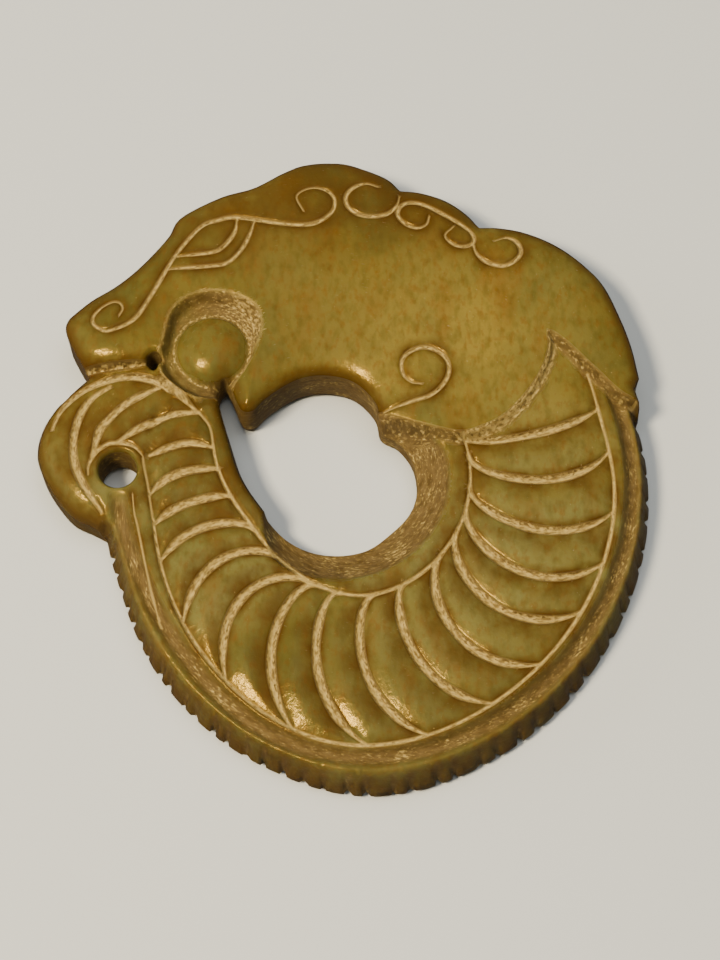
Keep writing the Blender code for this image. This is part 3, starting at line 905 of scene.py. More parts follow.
    def body(self, at: Survey) -> tuple[Array, Array]:
        """The ribbed body, its channel and the notched ridge.

        Args:
            at: The surveyed points.

        Returns:
            Heights, and how rough the ground is.
        """
        size = self.size
        height = self.pillows(at)
        to_rim = self.rim_edge.of(at.points, 6 * MM)[0]
        to_channel = self.channel.of(at.points, 4 * MM)[0]
        beyond = np.where(at.radius > CHANNEL.radius(at.degrees), to_channel, -to_channel)
        half = size.channel_width / 2
        on_rim = ease(beyond, -half, half) * ease(at.degrees, -178, -158)
        height += (size.rim - size.body) * on_rim
        from_hole = self.edges[Edge.HANGING_HOLE].of(at.points, 3 * MM)[0]
        scooped = (1 - ease(to_channel, 0.15 * half, half)) * ease(from_hole, *size.channel_end)
        height -= size.channel_depth * scooped
        ground = np.max([scooped * (1 - ease(to_channel, 0.75 * half, 1.1 * half)),
                         self.soil.rim_rough * on_rim,
                         self.soil.nick_rough * self.nicks(at, to_rim)], axis=0)
        to_edge = at.to[Edge.OUTSIDE]
        reach, drop = size.rim_face
        to_face = to_edge + (to_rim - to_edge) * ease(to_rim, 0.2 * reach, 0.7 * reach)
        face = drop * np.clip(1 - to_face / reach, 0, 1) ** 1.3 * (to_rim < 5 * MM)
        to_tail = self.tail_edge.of(at.points, 6 * MM)[0]
        return height - np.maximum(face, rounding(to_tail, size.tail_edge)), ground

    def fluted(self, at: Survey, height: Array) -> tuple[Array, Array]:
        """Cuts the hollow that falls to the central opening.

        Args:
            at: The surveyed points.
            height: Their height before it.

        Returns:
            The heights with the hollow, and how rough the ground is.
        """
        to_lip = at.to[Edge.OPENING]
        edge = FLUTE.radius(at.degrees)
        share = np.clip(to_lip / np.maximum(to_lip + edge - at.radius, 0.001 * MM), 0, 1)
        hollow = self.size.flute_lip + (height - self.size.flute_lip) * share ** 1.6
        covered = FLUTE.covers(at.degrees) & (at.radius < edge)
        plain = height - rounding(to_lip, self.size.body_edge)
        return (np.where(covered, np.minimum(hollow, plain), plain),
                np.where(covered, ease(1 - share, 0, 0.15), 0))

    def headed(self, at: Survey) -> tuple[Array, Array]:
        """The domed head, with its boss in a ground recess.

        Args:
            at: The surveyed points.

        Returns:
            Heights, and how rough the ground is.
        """
        size = self.size
        height = size.head - rounding(at.to_edge, size.head_edge)
        height -= rounding(self.mouth.of(at.points, 6 * MM)[0], size.lip)
        in_recess = inside(at.points, self.recess_line)
        from_recess = np.where(in_recess, self.recess.of(at.points, 4 * MM)[0], 0)
        height -= size.recess_depth * ease(from_recess, 0, size.recess_wall)
        from_boss = at.to_boss / (size.boss_diameter / 2)
        moat = 1 - ease(at.to_boss - size.boss_diameter / 2, *size.boss_moat)
        floor = size.head - size.recess_depth
        height += (np.minimum(height, floor) - height) * moat
        dome = floor + size.boss_rise * np.clip(1 - from_boss ** 2, 0, 1) ** 0.7
        rough = np.maximum(ease(from_recess, 0, 0.3 * MM), moat) * ease(from_boss, 0.96, 1.04)
        return np.where(from_boss < 1, np.maximum(height, dome), height), rough

    def front(self, points: Array) -> tuple[Array, dict[str, Array]]:
        """Height and cover of the front.

        Args:
            points: Plan points.

        Returns:
            Heights, and for each point how much crust, rough ground, brown stain with painted shade
            beside the cuts, and worn edge with painted shade at the crest it has, with its place along
            and across the stroke that made it.
        """
        size = self.size
        at = Survey(self, points)
        height, grounds = self.body(at)
        height, hollow = self.fluted(at, height)
        grounds = np.maximum(grounds, hollow)
        head, by_boss = self.headed(at)
        height += (head - height) * at.on_head
        by_boss *= at.on_head
        grounds += by_boss - grounds * at.on_head
        height -= at.depths.max(axis=0)
        for edge, mouth in ((Edge.HANGING_HOLE, size.hanging_mouth),
                            (Edge.PIERCED_HOLE, size.pierced_mouth)):
            height -= rounding(at.to[edge], (mouth, mouth))
        lumps = ripple(points, 0.9 * MM, 3.0) + 0.5 * ripple(points, 0.5 * MM, 7.0)
        height += size.pitting * lumps * grounds
        height -= size.polish_wave * (1 + ripple(points, 3.5 * MM, 17.0))
        return height, self.soiled(at, grounds, by_boss)

    def soiled(self, at: Survey, grounds: Array, by_boss: Array) -> dict[str, Array]:
        """What covers the front.

        Args:
            at: The surveyed points.
            grounds: How rough each is.
            by_boss: The same for the recess alone.

        Returns:
            Crust, ground, halo and edge as shares, and the grain.
        """
        soil = self.soil
        band, curved = (
            ease(value, *reach[:2]) * (1 - ease(value, *reach[2:]))
            for value, reach in ((at.to_step, soil.step_band), (at.step_share, soil.step_curved)))
        patches = ease(ripple(at.points, soil.patch, 29.0), -0.15, 0.5)
        right = at.from_boss[:, 0]
        recess = soil.recess[0] + soil.recess[1] * patches + soil.recess[2] * ease(right, 0, 4 * MM)
        # The recess's rim counts on the head alone
        from_rim = self.recess.of(at.points, 2 * MM)[0] + 2 * MM * (1 - at.on_head)
        from_ring = np.abs(at.to_boss - 0.53 * self.size.boss_diameter)
        crust = np.max([
            at.pressed("crust").max(axis=0),
            (soil.step + soil.step_curve * curved) * band,
            by_boss * recess,
            np.clip(grounds - by_boss, 0, 1) * (soil.ground[0] + soil.ground[1] * patches),
            soil.recess_rim * (1 - ease(from_rim, *soil.rim_line)),
            soil.boss_ring * (1 - ease(from_ring, *soil.ring_line)) * at.on_head], axis=0)
        # Brown along every edge, and painted shade at the crest of the head
        edge = np.maximum(soil.edge * (1 - ease(at.to_edge, *soil.edge_reach)),
                          soil.crest * at.on_head * ease(at.points[:, 1], *soil.crest_reach))
        worn = soil.recess_left + (1 - soil.recess_left) * ease(right, -4 * MM, 1 * MM)
        ground = np.max([grounds * np.where(by_boss > 0.05, worn, 1),
                         at.pressed("rough").max(axis=0), soil.step_rough * band], axis=0)
        return {"crust": crust, "ground": ground, "stain_and_shade": at.pressed("stain_and_shade").max(axis=0), "edge": edge,
                "grain": self.grain(at, by_boss > 0.05)}

    def grain(self, at: Survey, by_boss: Array) -> Array:
        """Places along and across the stroke that made each point, which the crust's flakes follow.

        Args:
            at: The surveyed points.
            by_boss: Whether each is in the recess.

        Returns:
            A vector for each point.
        """
        none = np.zeros(len(at.points))
        around = np.arctan2(at.from_boss[:, 1], at.from_boss[:, 0]) * self.soil.boss_flakes
        grain = np.column_stack([np.where(by_boss, around, np.radians(at.degrees) * at.radius),
                                 np.where(by_boss, at.to_boss, at.radius), none])
        reach, length = self.soil.step_flakes
        by_step = (at.from_step < reach) & ~by_boss
        grain[by_step] = np.column_stack([at.step_share * length, at.to_step, none])[by_step]
        deepest, rows = at.depths.argmax(axis=0), np.arange(len(at.points))
        along, across = (at.pressed(key)[deepest, rows] for key in ("along", "across"))
        in_cut = at.depths.max(axis=0) > 0.01 * MM
        grain[in_cut] = np.column_stack([along, across, none])[in_cut]
        return grain

    def back(self, points: Array) -> tuple[Array, dict[str, Array]]:
        """Height and cover of the plain back.

        Args:
            points: Plan points.

        Returns:
            Heights, and the same kinds of cover as on the front.
        """
        to_edge = np.min([edge.of(points, 3 * MM)[0] for edge in self.edges.values()], axis=0)
        none = np.zeros(len(points))
        return rounding(to_edge, self.size.back_edge), {
            "crust": none, "ground": none, "stain_and_shade": none,
            "edge": self.soil.edge * (1 - ease(to_edge, *self.soil.edge_reach)),
            "grain": np.column_stack([points, none])}


class PointField:
    """Plan points for one face, each kept a gap from those laid before it."""

    def __init__(self, loops: list[Array], cell: float = 0.3 * MM) -> None:
        """Lays the loops whole.

        Args:
            loops: The outer loop, then the loops of the holes.
            cell: Size of the grid that finds neighbours, at least the largest gap.
        """
        self.loops = loops
        self.cell = cell
        self.grid: dict[tuple[int, int], list[Pair]] = {}
        self.points: list[Pair] = []
        self.links: list[tuple[int, int]] = []
        for loop in loops:
            start = len(self.points)
            for x, y in loop:
                self.keep(x, y)
            count = len(loop)
            self.links += [(start + k, start + (k + 1) % count) for k in range(count)]

    def keep(self, x: float, y: float) -> None:
        """Adds one point."""
        self.points.append((x, y))
        self.grid.setdefault((int(x // self.cell), int(y // self.cell)), []).append((x, y))

    def crowded(self, x: float, y: float, gap: float) -> bool:
        """Whether a kept point lies near.

        Args:
            x: Place in plan.
            y: Place in plan.
            gap: How near counts.

        Returns:
            True if one does.
        """
        column, row = int(x // self.cell), int(y // self.cell)
        for i in (column - 1, column, column + 1):
            for j in (row - 1, row, row + 1):
                for a, b in self.grid.get((i, j), ()):
                    if (x - a) ** 2 + (y - b) ** 2 < gap * gap:
                        return True
        return False

    def lay(self, spots: Array, gap: float) -> None:
        """Adds the spots that lie on the piece and have room.

        Args:
            spots: Plan points.
            gap: How far each keeps from the others.
        """
        usable = inside(spots, self.loops[0])
        for loop in self.loops[1:]:
            usable &= ~inside(spots, loop)
        for x, y in spots[usable]:
            if not self.crowded(x, y, gap):
                self.keep(x, y)

    def fill(self, step: float, wanted: Array | None = None) -> None:
        """Lays an even triangular pattern over the piece.

        Args:
            step: Spacing of the pattern.
            wanted: Spots to lay in place of the whole pattern.
        """
        spots = even_spots(self.loops[0], step) if wanted is None else wanted
        self.lay(spots, 0.62 * step)

    def triangles(self) -> tuple[Array, Array, dict[int, int]]:
        """The points joined into triangles.

        Returns:
            Vertices, triangles on the piece, and the vertex of each laid point.
        """
        flat = [Vector(point) for point in self.points]
        verts, _, faces, origins, _, _ = delaunay_2d_cdt(flat, self.links, [], 0, 1e-7)
        corners = np.array([tuple(v) for v in verts])
        triangles = np.array(faces)
        on_loops = sum(len(loop) for loop in self.loops)
        source = np.array([min(ids) if ids else on_loops for ids in origins])
        doubtful = (source[triangles] < on_loops).all(axis=1)
        middles = corners[triangles[doubtful]].mean(axis=1)
        kept = inside(middles, self.loops[0])
        for loop in self.loops[1:]:
            kept &= ~inside(middles, loop)
        good = np.ones(len(triangles), bool)
        good[doubtful] = kept
        centre = corners[triangles].mean(axis=1)
        low, high = self.loops[0].min(0), self.loops[0].max(0)
        good &= ((centre > low) & (centre < high)).all(axis=1)
        place = {s: index for index, ids in enumerate(origins) for s in ids}
        return corners, triangles[good], place


def even_spots(loop: Array, step: float) -> Array:
    """An even triangular pattern of spots over a loop's box.

    Args:
        loop: The loop.
        step: Spacing of the pattern.

    Returns:
        The spots.
    """
    low, high = loop.min(0), loop.max(0)
    spots = []
    for row, y in enumerate(np.arange(low[1], high[1], math.sqrt(0.75) * step)):
        spots += [(x + (row % 2) * step / 2, y) for x in np.arange(low[0], high[0], step)]
    return np.array(spots)


def add_node(tree: Tree, kind: str, inputs: dict, **settings: object) -> bpy.types.Node:
    """Adds a shader node with its inputs and settings.

    Args:
        tree: The material's node tree.
        kind: The node's type.
        inputs: Input names or numbers, with the socket, sRGB hex colour or value for each.
        settings: The node's own properties.

    Returns:
        The node.
    """
    made = tree.nodes.new(kind)
    for name, value in settings.items():
        setattr(made, name, value)
    for name, value in inputs.items():
        if isinstance(value, Socket):
            tree.links.new(value, made.inputs[name])
        else:
            made.inputs[name].default_value = linear(value) if isinstance(value, str) else value
    return made


@dataclass(frozen=True)
class Ramp:
    """A rise or fall from one value to another while what is read goes from one level to another.

    Args:
        levels: The levels between which it runs.
        values: What it gives at each, numbers or sockets.
    """

    levels: Pair = (0.0, 1.0)
    values: tuple[object, object] = (0.0, 1.0)

    def of(self, tree: Tree, read: Socket) -> Socket:
        """Builds the ramp.

        Args:
            tree: The node tree.
            read: What it runs over.

        Returns:
            Its socket.
        """
        return add_node(tree, "ShaderNodeMapRange", {
            "Value": read, "From Min": self.levels[0], "From Max": self.levels[1],
            "To Min": self.values[0], "To Max": self.values[1]}).outputs[0]


@dataclass(frozen=True)
class Cloud:
    """Noise with lumps of one size, sharpened between two levels.

    Args:
        size_mm: Size of its lumps in millimetres.
        levels: The noise that gives none of it, and the noise that gives the most.
        detail: How fine its smaller lumps go.
        most: What it rises to, a number or a socket.
        stretch: Scale along each axis, less than 1 for longer lumps.
        least: What it starts from.
    """

    size_mm: float
    levels: Pair
    detail: float = 4.0
    most: object = 1.0
    stretch: Triple = (1, 1, 1)
    least: float = 0.0

    def of(self, tree: Tree, where: Socket) -> Socket:
        """Builds the cloud.

        Args:
            tree: The node tree.
            where: The place that it is read at.

        Returns:
            Its socket.
        """
        mapped = add_node(tree, "ShaderNodeMapping", {"Vector": where, "Scale": self.stretch})
        fog = add_node(tree, "ShaderNodeTexNoise", {
            "Vector": mapped.outputs[0], "Scale": 1000 / self.size_mm, "Detail": self.detail})
        return Ramp(self.levels, (self.least, self.most)).of(tree, fog.outputs["Fac"])


def layered(tree: Tree, where: Socket, base: object, *layers: tuple[object, object]) -> Socket:
    """Colours laid one over another.

    Args:
        tree: The node tree.
        where: The place that the clouds among the layers are read at.
        base: The lowest colour, hex or socket.
        layers: Each colour laid over it, with the cloud or socket for how much of it shows.

    Returns:
        The socket of the whole.
    """
    for colour, share in layers:
        shown = share.of(tree, where) if isinstance(share, Cloud) else share
        mixed = add_node(tree, "ShaderNodeMix", {0: shown, 6: base, 7: colour}, data_type="RGBA")
        base = mixed.outputs[2]
    return base


@dataclass(frozen=True)
class PolishedJade:
    """Nephrite jade, ground to shape and polished by hand, aged and stained in the ground.

    The polish gives a waxy gloss with crisp highlights over a body that light sinks into.
    The cuts hold a pale dry crust, and the ground channels are rough and dull.

    Args:
        olive: The stone's own green brown.
        mustard: Its yellower clouds.
        pale: Lighter clouds.
        honey: A lighter yellow over the cheek.
        russet: Iron brown mottling.
        brown: Soil stain beside the cuts and over worn edges, laid also as painted shade beside the
            ribs, at the crest and on the walls.
        dark_olive: Fine dark grain of the stone, and the painted shade towards the bottom.
        crust: Dry soil packed in the cuts.
        crust_dark: Thinner crust with the stone showing through.
        stain: Dark soil over the crust.
        ground: Ground stone that was never polished.
        ground_dark: The same where it is dirty.
        index: Refractive index of nephrite.
        gloss: How much of its mirror light the worn polish keeps, as the shader's specular level.
        roughness: Roughness of the polish.
        dry_roughness: Roughness of crust and ground stone.
        sinking: How much of the light sinks into the stone.
        sinking_mm: How deep, in millimetres, for the red light.
        cheek: The point that the cheek's lighter yellow spreads from.
        streaks: Scale of the flakes along and across the stroke that made them.
        cloud_mm: Size of the large clouds.
        mottle_mm: Size of the russet mottling.
        wave_mm: Size of the polish's soft waves.
        grain_mm: Size of the polishing marks.
        wave_depth: Height of the waves.
        grain_depth: Height of the marks.
    """

    olive: str = "#4c491d"
    mustard: str = "#66561b"
    pale: str = "#6a6634"
    honey: str = "#87742c"
    russet: str = "#643c0b"
    brown: str = "#47300a"
    dark_olive: str = "#443c12"
    crust: str = "#ae9756"
    crust_dark: str = "#69552a"
    stain: str = "#4b3512"
    ground: str = "#604e2b"
    ground_dark: str = "#47371b"
    index: float = 1.61
    gloss: float = 0.36
    roughness: float = 0.22
    dry_roughness: float = 0.8
    sinking: float = 0.25
    sinking_mm: float = 1.2
    cheek: Triple = (14 * MM, 13 * MM, 8 * MM)
    streaks: Triple = (0.42, 1, 1)
    cloud_mm: float = 14.0
    mottle_mm: float = 3.2
    wave_mm: float = 1.5
    grain_mm: float = 0.45
    wave_depth: float = 0.06 * MM
    grain_depth: float = 0.08 * MM

    def stone(self, tree: Tree, place: Socket, covers: dict[str, Socket]) -> Socket:
        """Colour of the polished stone: clouds, mottling, fine grain, brown soil stain and painted
        shade.

        Args:
            tree: The node tree.
            place: The place on the ring.
            covers: The sockets of the covers.

        Returns:
            The colour's socket.
        """
        northing = add_node(tree, "ShaderNodeSeparateXYZ", {0: place}).outputs["Y"]
        from_cheek = add_node(tree, "ShaderNodeVectorMath", {0: place, 1: self.cheek},
                              operation="DISTANCE").outputs["Value"]
        # Greyer towards the bottom, darker right at it as painted shade, and yellower on the cheek
        greyed = Ramp((-8 * MM, 9 * MM), (0.95, 0.3)).of(tree, northing)
        shaded = Ramp((-18 * MM, -28 * MM), (0.0, 0.4)).of(tree, northing)
        honeyed = Ramp((3 * MM, 16 * MM), (0.6, 0.0)).of(tree, from_cheek)
        return layered(
            tree, place, self.olive,
            (self.mustard, Cloud(self.cloud_mm, (0.38, 0.62), 3)),
            (self.pale, Cloud(11.0, (0.3, 0.62), most=greyed)),
            (self.honey, Cloud(7.0, (0.2, 0.5), most=honeyed)),
            (self.dark_olive, shaded),
            (self.russet, Cloud(self.mottle_mm, (0.52, 0.74), 6, 0.5, (1, 0.4, 1))),
            (self.russet, Cloud(0.6, (0.5, 0.7), 7, 0.45, (1, 0.6, 1))),
            (self.dark_olive, Cloud(0.9, (0.46, 0.68), 7, 0.42, (1, 0.55, 1))),
            # Brown of soil stain and wear, with painted shade beside the ribs, at the crest and on the
            # walls
            (self.brown, Cloud(3.0, (0.25, 0.6), 3, covers["stain_and_shade"])),
            (self.brown, Cloud(4.0, (0.15, 0.5), 3, covers["edge"])),
            (self.crust, Cloud(0.4, (0.75, 0.84), 2, 0.5)))

    def soils(self, tree: Tree, stroke: Socket) -> tuple[Socket, Socket]:
        """Colours of the rough ground and of the dry crust, streaked along the stroke.

        Args:
            tree: The node tree.
            stroke: The place along and across the stroke.

        Returns:
            The sockets of the two colours.
        """
        ground = layered(
            tree, stroke, self.ground_dark,
            (self.ground, Cloud(0.5, (0.3, 0.6), 7, stretch=self.streaks)),
            (self.crust, Cloud(0.25, (0.56, 0.8), 5, 0.4, self.streaks)))
        crust = layered(
            tree, stroke, self.crust,
            (self.crust_dark, Cloud(0.28, (0.43, 0.63), 7, 0.85, self.streaks)),
            (self.stain, Cloud(0.7, (0.54, 0.72), 7, 0.65, self.streaks)))
        return ground, crust

    def bumped(self, tree: Tree, place: Socket, dry: Socket) -> Socket:
        """Soft waves of the hand polish, under fine marks that are deeper where it is dry.

        Args:
            tree: The node tree.
            place: The place on the ring.
            dry: How dry the surface is.

        Returns:
            The normal's socket.
        """
        wave, marks = (add_node(tree, "ShaderNodeTexNoise", {
            "Vector": place, "Scale": 1000 / size, "Detail": detail}).outputs["Fac"]
            for size, detail in ((self.wave_mm, 4), (self.grain_mm, 5)))
        pitted = Ramp(values=(0.42, 0.9)).of(tree, dry)
        soft = add_node(tree, "ShaderNodeBump", {
            "Height": wave, "Strength": 0.8, "Distance": self.wave_depth})
        rough = add_node(tree, "ShaderNodeBump", {
            "Height": marks, "Normal": soft.outputs[0], "Strength": pitted,
            "Distance": self.grain_depth})
        return rough.outputs[0]

    def build(self) -> bpy.types.Material:
        """Makes the material.

        Returns:
            The jade material.
        """
        material = bpy.data.materials.new("polished_jade_with_crust")
        material.use_nodes = True
        tree = material.node_tree
        tree.nodes.clear()
        place = add_node(tree, "ShaderNodeTexCoord", {}).outputs["Object"]
        stroke = add_node(tree, "ShaderNodeAttribute", {}, attribute_name="grain").outputs["Vector"]
        covers = {name: add_node(tree, "ShaderNodeAttribute", {}, attribute_name=name).outputs["Fac"]
                  for name in ("crust", "ground", "stain_and_shade", "edge")}
        jade = self.stone(tree, place, covers)
        ground, crust = self.soils(tree, stroke)
        # Crust shows where its cover and its flakes together pass a level, so its border is flaky
        flakes = Cloud(0.2, (0.3, 0.7), 7, 0.38, self.streaks, -0.38).of(tree, stroke)
        packed = add_node(tree, "ShaderNodeMath", {0: flakes, 1: covers["crust"]}, operation="ADD")
        filled = Ramp((0.35, 0.66)).of(tree, packed.outputs[0])
        colour = layered(tree, place, jade, (ground, covers["ground"]), (crust, filled))
        dry = add_node(tree, "ShaderNodeMath", {0: filled, 1: covers["ground"]},
                       operation="MAXIMUM").outputs[0]
        dulled = Ramp(values=(self.roughness, self.dry_roughness)).of(tree, dry)
        shader = add_node(tree, "ShaderNodeBsdfPrincipled", {
            "Base Color": colour, "Roughness": dulled, "Normal": self.bumped(tree, place, dry),
            "IOR": self.index, "Specular IOR Level": self.gloss, "Subsurface Weight": self.sinking,
            "Subsurface Radius": (1.0, 0.7, 0.25), "Subsurface Scale": self.sinking_mm * MM})
        add_node(tree, "ShaderNodeOutputMaterial", {"Surface": shader.outputs[0]})
        return material


@dataclass
class Shell:
    """The vertices, triangles and covers of the ring's mesh, gathered part by part.

    Args:
        verts: Blocks of vertices, in plan metres.
        faces: Blocks of triangles.
        covers: Blocks of each cover, in the order of the vertices.
        count: How many vertices there are.
    """

    verts: list[Array] = field(default_factory=list)
    faces: list[Array] = field(default_factory=list)
    covers: dict[str, list[Array]] = field(default_factory=dict)
    count: int = 0

    def add(self, plan: Array, heights: Array, covers: dict[str, Array]) -> Array:
        """Adds vertices.

        Args:
            plan: Their plan points.
            heights: Their heights.
            covers: Their covers, one value for all or one for each.

        Returns:
            Their numbers.
        """
        added = len(plan)
        self.verts.append(np.column_stack([plan, heights]))
        for name, cover in covers.items():
            whole = cover if name == "grain" else np.broadcast_to(cover, added)
            self.covers.setdefault(name, []).append(whole)
        self.count += added
        return np.arange(self.count - added, self.count)


@dataclass
class JadeRing:
    """The carved ring as one closed mesh.

    Args:
        size: The sizes of the carving.
        soil: How much crust and stain it has.
        fill: Spacing of the mesh over the plain front.
        fine_fill: Its spacing over the ground surfaces.
        back_fill: Its spacing over the back.
        wall_step: Height of a row of the walls.
    """

    size: Carving = field(default_factory=Carving)
    soil: Soil = field(default_factory=Soil)
    fill: float = 0.42 * MM
    fine_fill: float = 0.26 * MM
    back_fill: float = 0.9 * MM
    wall_step: float = 0.45 * MM

    def front_field(self, relief: Relief) -> PointField:
        """Plan points of the front, thick along the cuts and over rough ground.

        Args:
            relief: The carving.

        Returns:
            The field of points.
        """
        loops = list(relief.loops().values())
        laid = PointField(loops)
        for cut in relief.cuts:
            step = 0.3 * MM if cut.section is Section.GROUND else 0.24 * MM
            line = resampled(cut.line, step)
            half = 0.5 * cut.width * cut.scale(np.linspace(0, 1, len(line)))
            for share in (0.0, 0.5, -0.5, 1.0, -1.0, 0.25, -0.25, 0.75, -0.75, 1.3, -1.3):
                laid.lay(offset(line, share * half), 0.11 * MM)
        step = resampled(smooth(PLAN.at(*HEAD_STEP)), 0.3 * MM)
        for share in (0, 0.25, 0.5, 0.75, 1.0, -0.3):
            laid.lay(offset(step, -share * self.size.head_step_width), 0.1 * MM)
        for loop in loops:
            for reach in (0.04, 0.12, 0.25, 0.42, 0.62, 0.85, 1.1, 1.4):
                laid.lay(offset(loop, -reach * MM, closed=True), min(0.16, 0.6 * reach + 0.05) * MM)
        for share in (1, 0.97, 0.92, 0.85):
            laid.lay(PLAN.circle(BOSS, share * self.size.boss_diameter, 0.25 * MM), 0.12 * MM)
        fine = even_spots(relief.outline, self.fine_fill)
        degrees, radius = PLAN.place(fine)
        in_channel = relief.channel.of(fine, 3 * MM)[0] < 0.55 * self.size.channel_width
        in_flute = FLUTE.covers(degrees) & (radius < FLUTE.radius(degrees))
        in_recess = inside(fine, relief.recess_line)
        laid.fill(self.fine_fill, fine[in_channel | in_flute | in_recess])
        laid.fill(self.fill)
        return laid

    def back_field(self, relief: Relief) -> PointField:
        """Plan points of the back, thick along its rounded edges.

        Args:
            relief: The carving.

        Returns:
            The field of points.
        """
        loops = list(relief.loops().values())
        laid = PointField(loops, 0.6 * MM)
        for loop in loops:
            for reach in (0.08, 0.25, 0.45, 0.75, 1.1, 1.5):
                laid.lay(offset(loop, -reach * MM, closed=True), 0.25 * MM)
        laid.fill(self.back_fill)
        return laid

    def wall(self, shell: Shell, edge: Edge, loop: Array, ends: tuple[Array, Array]) -> None:
        """Hangs one wall between the front and the back.

        Args:
            shell: The mesh, which this adds to.
            edge: Which edge the wall is at.
            loop: Its plan points.
            ends: Numbers of the vertices at its top and at its foot.
        """
        soil = self.soil
        heights = np.concatenate(shell.verts)[:, 2]
        top, foot = (heights[numbers] for numbers in ends)
        degrees, radius = PLAN.place(loop)
        nicked = ease(RIM.radius(degrees) - radius, 0.05 * MM, 0.35 * MM) * RIM.covers(degrees)
        run = np.arange(len(loop)) * 0.3 * MM
        rows = max(2, round((self.size.body - 2 * MM) / self.wall_step))
        ids = [ends[0]]
        for share in np.arange(1, rows) / rows:
            height = top * (1 - share) + foot * share
            ruled = np.column_stack([loop[:, 0] + loop[:, 1] * 0.7, height])
            bulge = edge.value * math.sin(math.pi * share)
            out = bulge + self.size.pitting * ripple(ruled, 0.9 * MM, 5.0)
            if edge is Edge.OUTSIDE:
                # The outer wall is browned by stain, deepened with painted shade
                covers = {"edge": soil.wall_edge, "crust": soil.wall_nick * nicked,
                          "ground": soil.wall_rough[0] + soil.wall_rough[1] * nicked}
            else:
                patches = ease(ripple(np.column_stack([run * 0.4, height]), 1.2 * MM, 31.0), -0.2, 0.5)
                covers = {"edge": soil.edge, "crust": soil.bore[0] + soil.bore[1] * patches,
                          "ground": soil.bore_rough}
            # Every wall gets a little more brown, stain with painted shade
            covers |= {"stain_and_shade": soil.wall_stain_and_shade, "grain": np.column_stack([run, height, 0 * run])}
            ids.append(shell.add(offset(loop, out, closed=True), height, covers))
        ids.append(ends[1])
        for upper, lower in zip(ids, ids[1:]):
            after_upper, after_lower = np.roll(upper, -1), np.roll(lower, -1)
            shell.faces += [np.column_stack([upper, after_upper, after_lower]),
                            np.column_stack([upper, after_lower, lower])]

    def build(self) -> bpy.types.Object:
        """Makes the mesh with its covers.

        Returns:
            The ring's object.
        """
        relief = Relief(self.size, self.soil)
        front, front_faces, front_place = self.front_field(relief).triangles()
        back, back_faces, back_place = self.back_field(relief).triangles()
        LOG.info("front %d points, back %d points", len(front), len(back))
        shell = Shell()
        above = shell.add(front, *relief.front(front))
        below = shell.add(back, *relief.back(back))
        shell.faces += [front_faces, below[back_faces[:, ::-1]]]
        start = 0
        for edge, loop in relief.loops().items():
            spots = range(start, start + len(loop))
            top = above[[front_place[spot] for spot in spots]]
            foot = below[[back_place[spot] for spot in spots]]
            self.wall(shell, edge, loop, (top, foot))
            start += len(loop)
        return self.assembled(shell, relief)

    def assembled(self, shell: Shell, relief: Relief) -> bpy.types.Object:
        """Puts the vertices, triangles and covers into one object.

        Args:
            shell: The whole mesh.
            relief: The carving, for its outline.

        Returns:
            The object, its box's centre over the origin.
        """
        verts, faces = np.concatenate(shell.verts), np.concatenate(shell.faces)
        verts[:, :2] -= (relief.outline.min(0) + relief.outline.max(0)) / 2
        verts = np.clip(verts, *np.array(SOLID_BOX))
        used = np.unique(faces)
        renumbered = np.zeros(len(verts), int)
        renumbered[used] = np.arange(len(used))
        data = bpy.data.meshes.new("carved_jade_ring")
        data.from_pydata(verts[used].tolist(), [], renumbered[faces].tolist())
        for name, parts in shell.covers.items():
            cover = np.concatenate(parts)[used].astype(np.float32)
            kind, key = ("FLOAT", "value") if cover.ndim == 1 else ("FLOAT_VECTOR", "vector")
            data.attributes.new(name, kind, "POINT").data.foreach_set(key, cover.ravel())
        data.shade_smooth()
        data.validate()
        data.materials.append(PolishedJade().build())
        ring = bpy.data.objects.new("carved_jade_ring", data)
        bpy.context.scene.collection.objects.link(ring)
        LOG.info("%s: %d triangles", ring.name, len(faces))
        return ring


@dataclass(frozen=True)
class Lamp:
    """One soft rectangular light that faces the ring.

    Args:
        name: Its name.
        towards: Direction from the ring to the light.
        size: Its width and height in metres.
        power: Its power in watts.
        tint: Its colour.
        distance: How far from the ring it hangs.
        mirrored: Whether the polish shows its reflection.
        diffuse: Whether it lights the surfaces themselves.
    """

    name: str
    towards: Triple
    size: Pair
    power: float
    tint: str = "#ffffff"
    distance: float = 0.6
    mirrored: bool = True
    diffuse: bool = True

    def build(self) -> None:
        """Hangs the light."""
        data = bpy.data.lights.new(self.name, "AREA")
        data.shape = "RECTANGLE"
        data.size, data.size_y = self.size
        data.energy = self.power
        data.color = linear(self.tint)[:3]
        lamp = bpy.data.objects.new(self.name, data)
        direction = Vector(self.towards).normalized()
        lamp.location = direction * self.distance
        lamp.rotation_euler = direction.to_track_quat("Z", "Y").to_euler()
        lamp.visible_glossy = self.mirrored
        lamp.visible_diffuse = self.diffuse
        bpy.context.scene.collection.objects.link(lamp)
        LOG.info("%s: %.1f W", self.name, self.power)


# A window to the left with its glint, a wide soft light above and a fill
LAMPS = (
    Lamp("key_window", (-0.42, -0.24, 0.88), (0.12, 0.11), 6.6, "#ffecd0", mirrored=False),
    Lamp("window_glint", (-0.42, -0.24, 0.88), (0.075, 0.05), 4.2, "#ffc452", 0.59, diffuse=False),
    Lamp("ceiling", (0.1, 0.1, 0.98), (0.6, 0.6), 4.8, "#fbfaff", 0.8, mirrored=False),
    Lamp("left_fill", (-0.9, 0.1, 0.45), (0.4, 0.3), 0.8, mirrored=False))


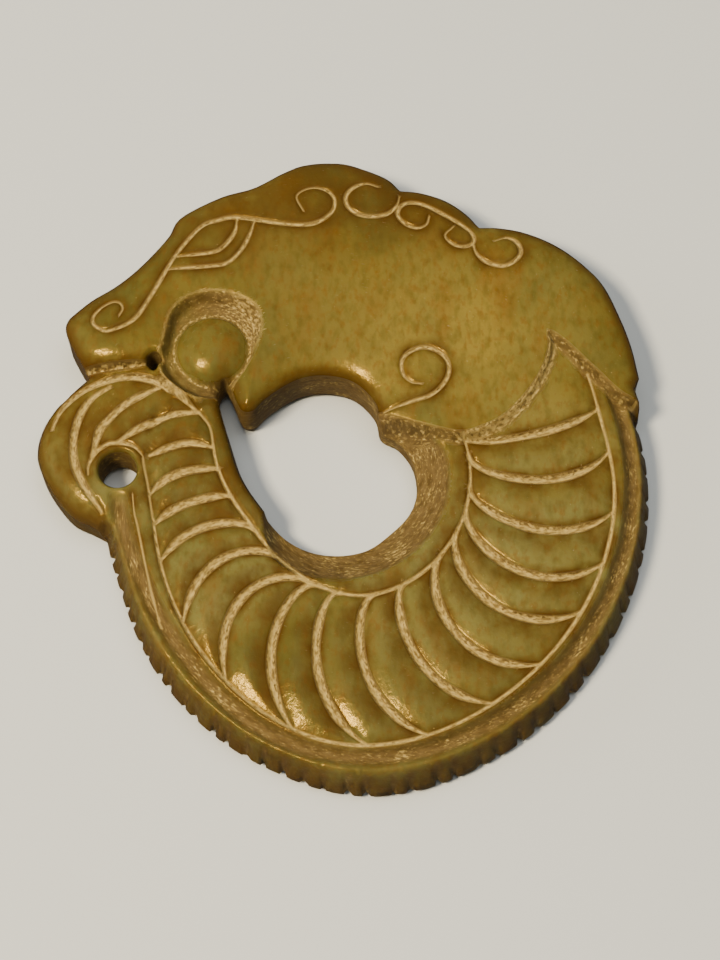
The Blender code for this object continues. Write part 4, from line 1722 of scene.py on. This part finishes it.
@dataclass(frozen=True)
class MattPaper:
    """Uncoated paper board, pressed and left matt: an even pale tone with no mirror light.

    Args:
        colour: The paper's grey white.
        roughness: Roughness of its fibres.
    """

    colour: str = "#c6cac3"
    roughness: float = 0.85

    def build(self) -> bpy.types.Material:
        """Makes the material.

        Returns:
            The paper material.
        """
        material = bpy.data.materials.new("pale_matt_paper")
        material.use_nodes = True
        shader = material.node_tree.nodes["Principled BSDF"]
        shader.inputs["Base Color"].default_value = linear(self.colour)
        shader.inputs["Roughness"].default_value = self.roughness
        return material


@dataclass
class Studio:
    """A plain pale floor, soft lights and the camera.

    Args:
        aim: The point that the camera looks at.
        distance: How far the camera is from it.
        elevation: Degrees that the camera looks down by.
        lens: Focal length in millimetres.
        sensor: Width of its sensor in millimetres.
        floor_half: Half the floor's width.
        floor_drop: How far the floor lies below the ring.
        air: Colour of the light from all round.
        air_strength: Its strength.
    """

    aim: Triple = (1.75 * MM, -2.76 * MM, 6.9 * MM)
    distance: float = 248 * MM
    elevation: float = 69.0
    lens: float = 86.25
    sensor: float = 36.0
    floor_half: float = 3.0
    floor_drop: float = 0.02 * MM
    air: str = "#ece9e2"
    air_strength: float = 0.09

    def floor(self) -> None:
        """Lays a pale matt floor under the ring."""
        half = self.floor_half
        corners = [(-half, -half, 0), (half, -half, 0), (half, half, 0), (-half, half, 0)]
        data = bpy.data.meshes.new("floor")
        data.from_pydata(corners, [], [(0, 1, 2, 3)])
        data.materials.append(MattPaper().build())
        floor = bpy.data.objects.new("floor", data)
        floor.location.z = -self.floor_drop
        floor.visible_glossy = False
        bpy.context.scene.collection.objects.link(floor)
        LOG.info("floor: %.1f m wide", 2 * half)

    def lights(self) -> None:
        """Hangs the lamps and sets the light from all round."""
        for lamp in LAMPS:
            lamp.build()
        world = bpy.data.worlds.new("studio")
        world.use_nodes = True
        background = world.node_tree.nodes["Background"]
        background.inputs["Color"].default_value = linear(self.air)
        background.inputs["Strength"].default_value = self.air_strength
        bpy.context.scene.world = world

    def camera(self) -> None:
        """Sets the camera at the photograph's viewing angle."""
        data = bpy.data.cameras.new("view")
        data.sensor_width = self.sensor
        data.lens = self.lens
        data.clip_start = 1 * MM
        camera = bpy.data.objects.new("view", data)
        tilt = math.radians(self.elevation)
        towards = Vector((0, -math.cos(tilt), math.sin(tilt)))
        camera.location = Vector(self.aim) + towards * self.distance
        camera.rotation_euler = towards.to_track_quat("Z", "Y").to_euler()
        bpy.context.scene.collection.objects.link(camera)
        bpy.context.scene.camera = camera


def main() -> None:
    """Builds the ring and its studio in order."""
    logging.basicConfig(level=logging.INFO, format="%(message)s")
    studio = Studio()
    studio.camera()
    studio.lights()
    studio.floor()
    ring = JadeRing().build()
    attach(ring, "root")
    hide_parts(NODE)
    LOG.info("%s: rides on the root body in place of %s", ring.name, NODE)


if __name__ == "__main__":
    main()
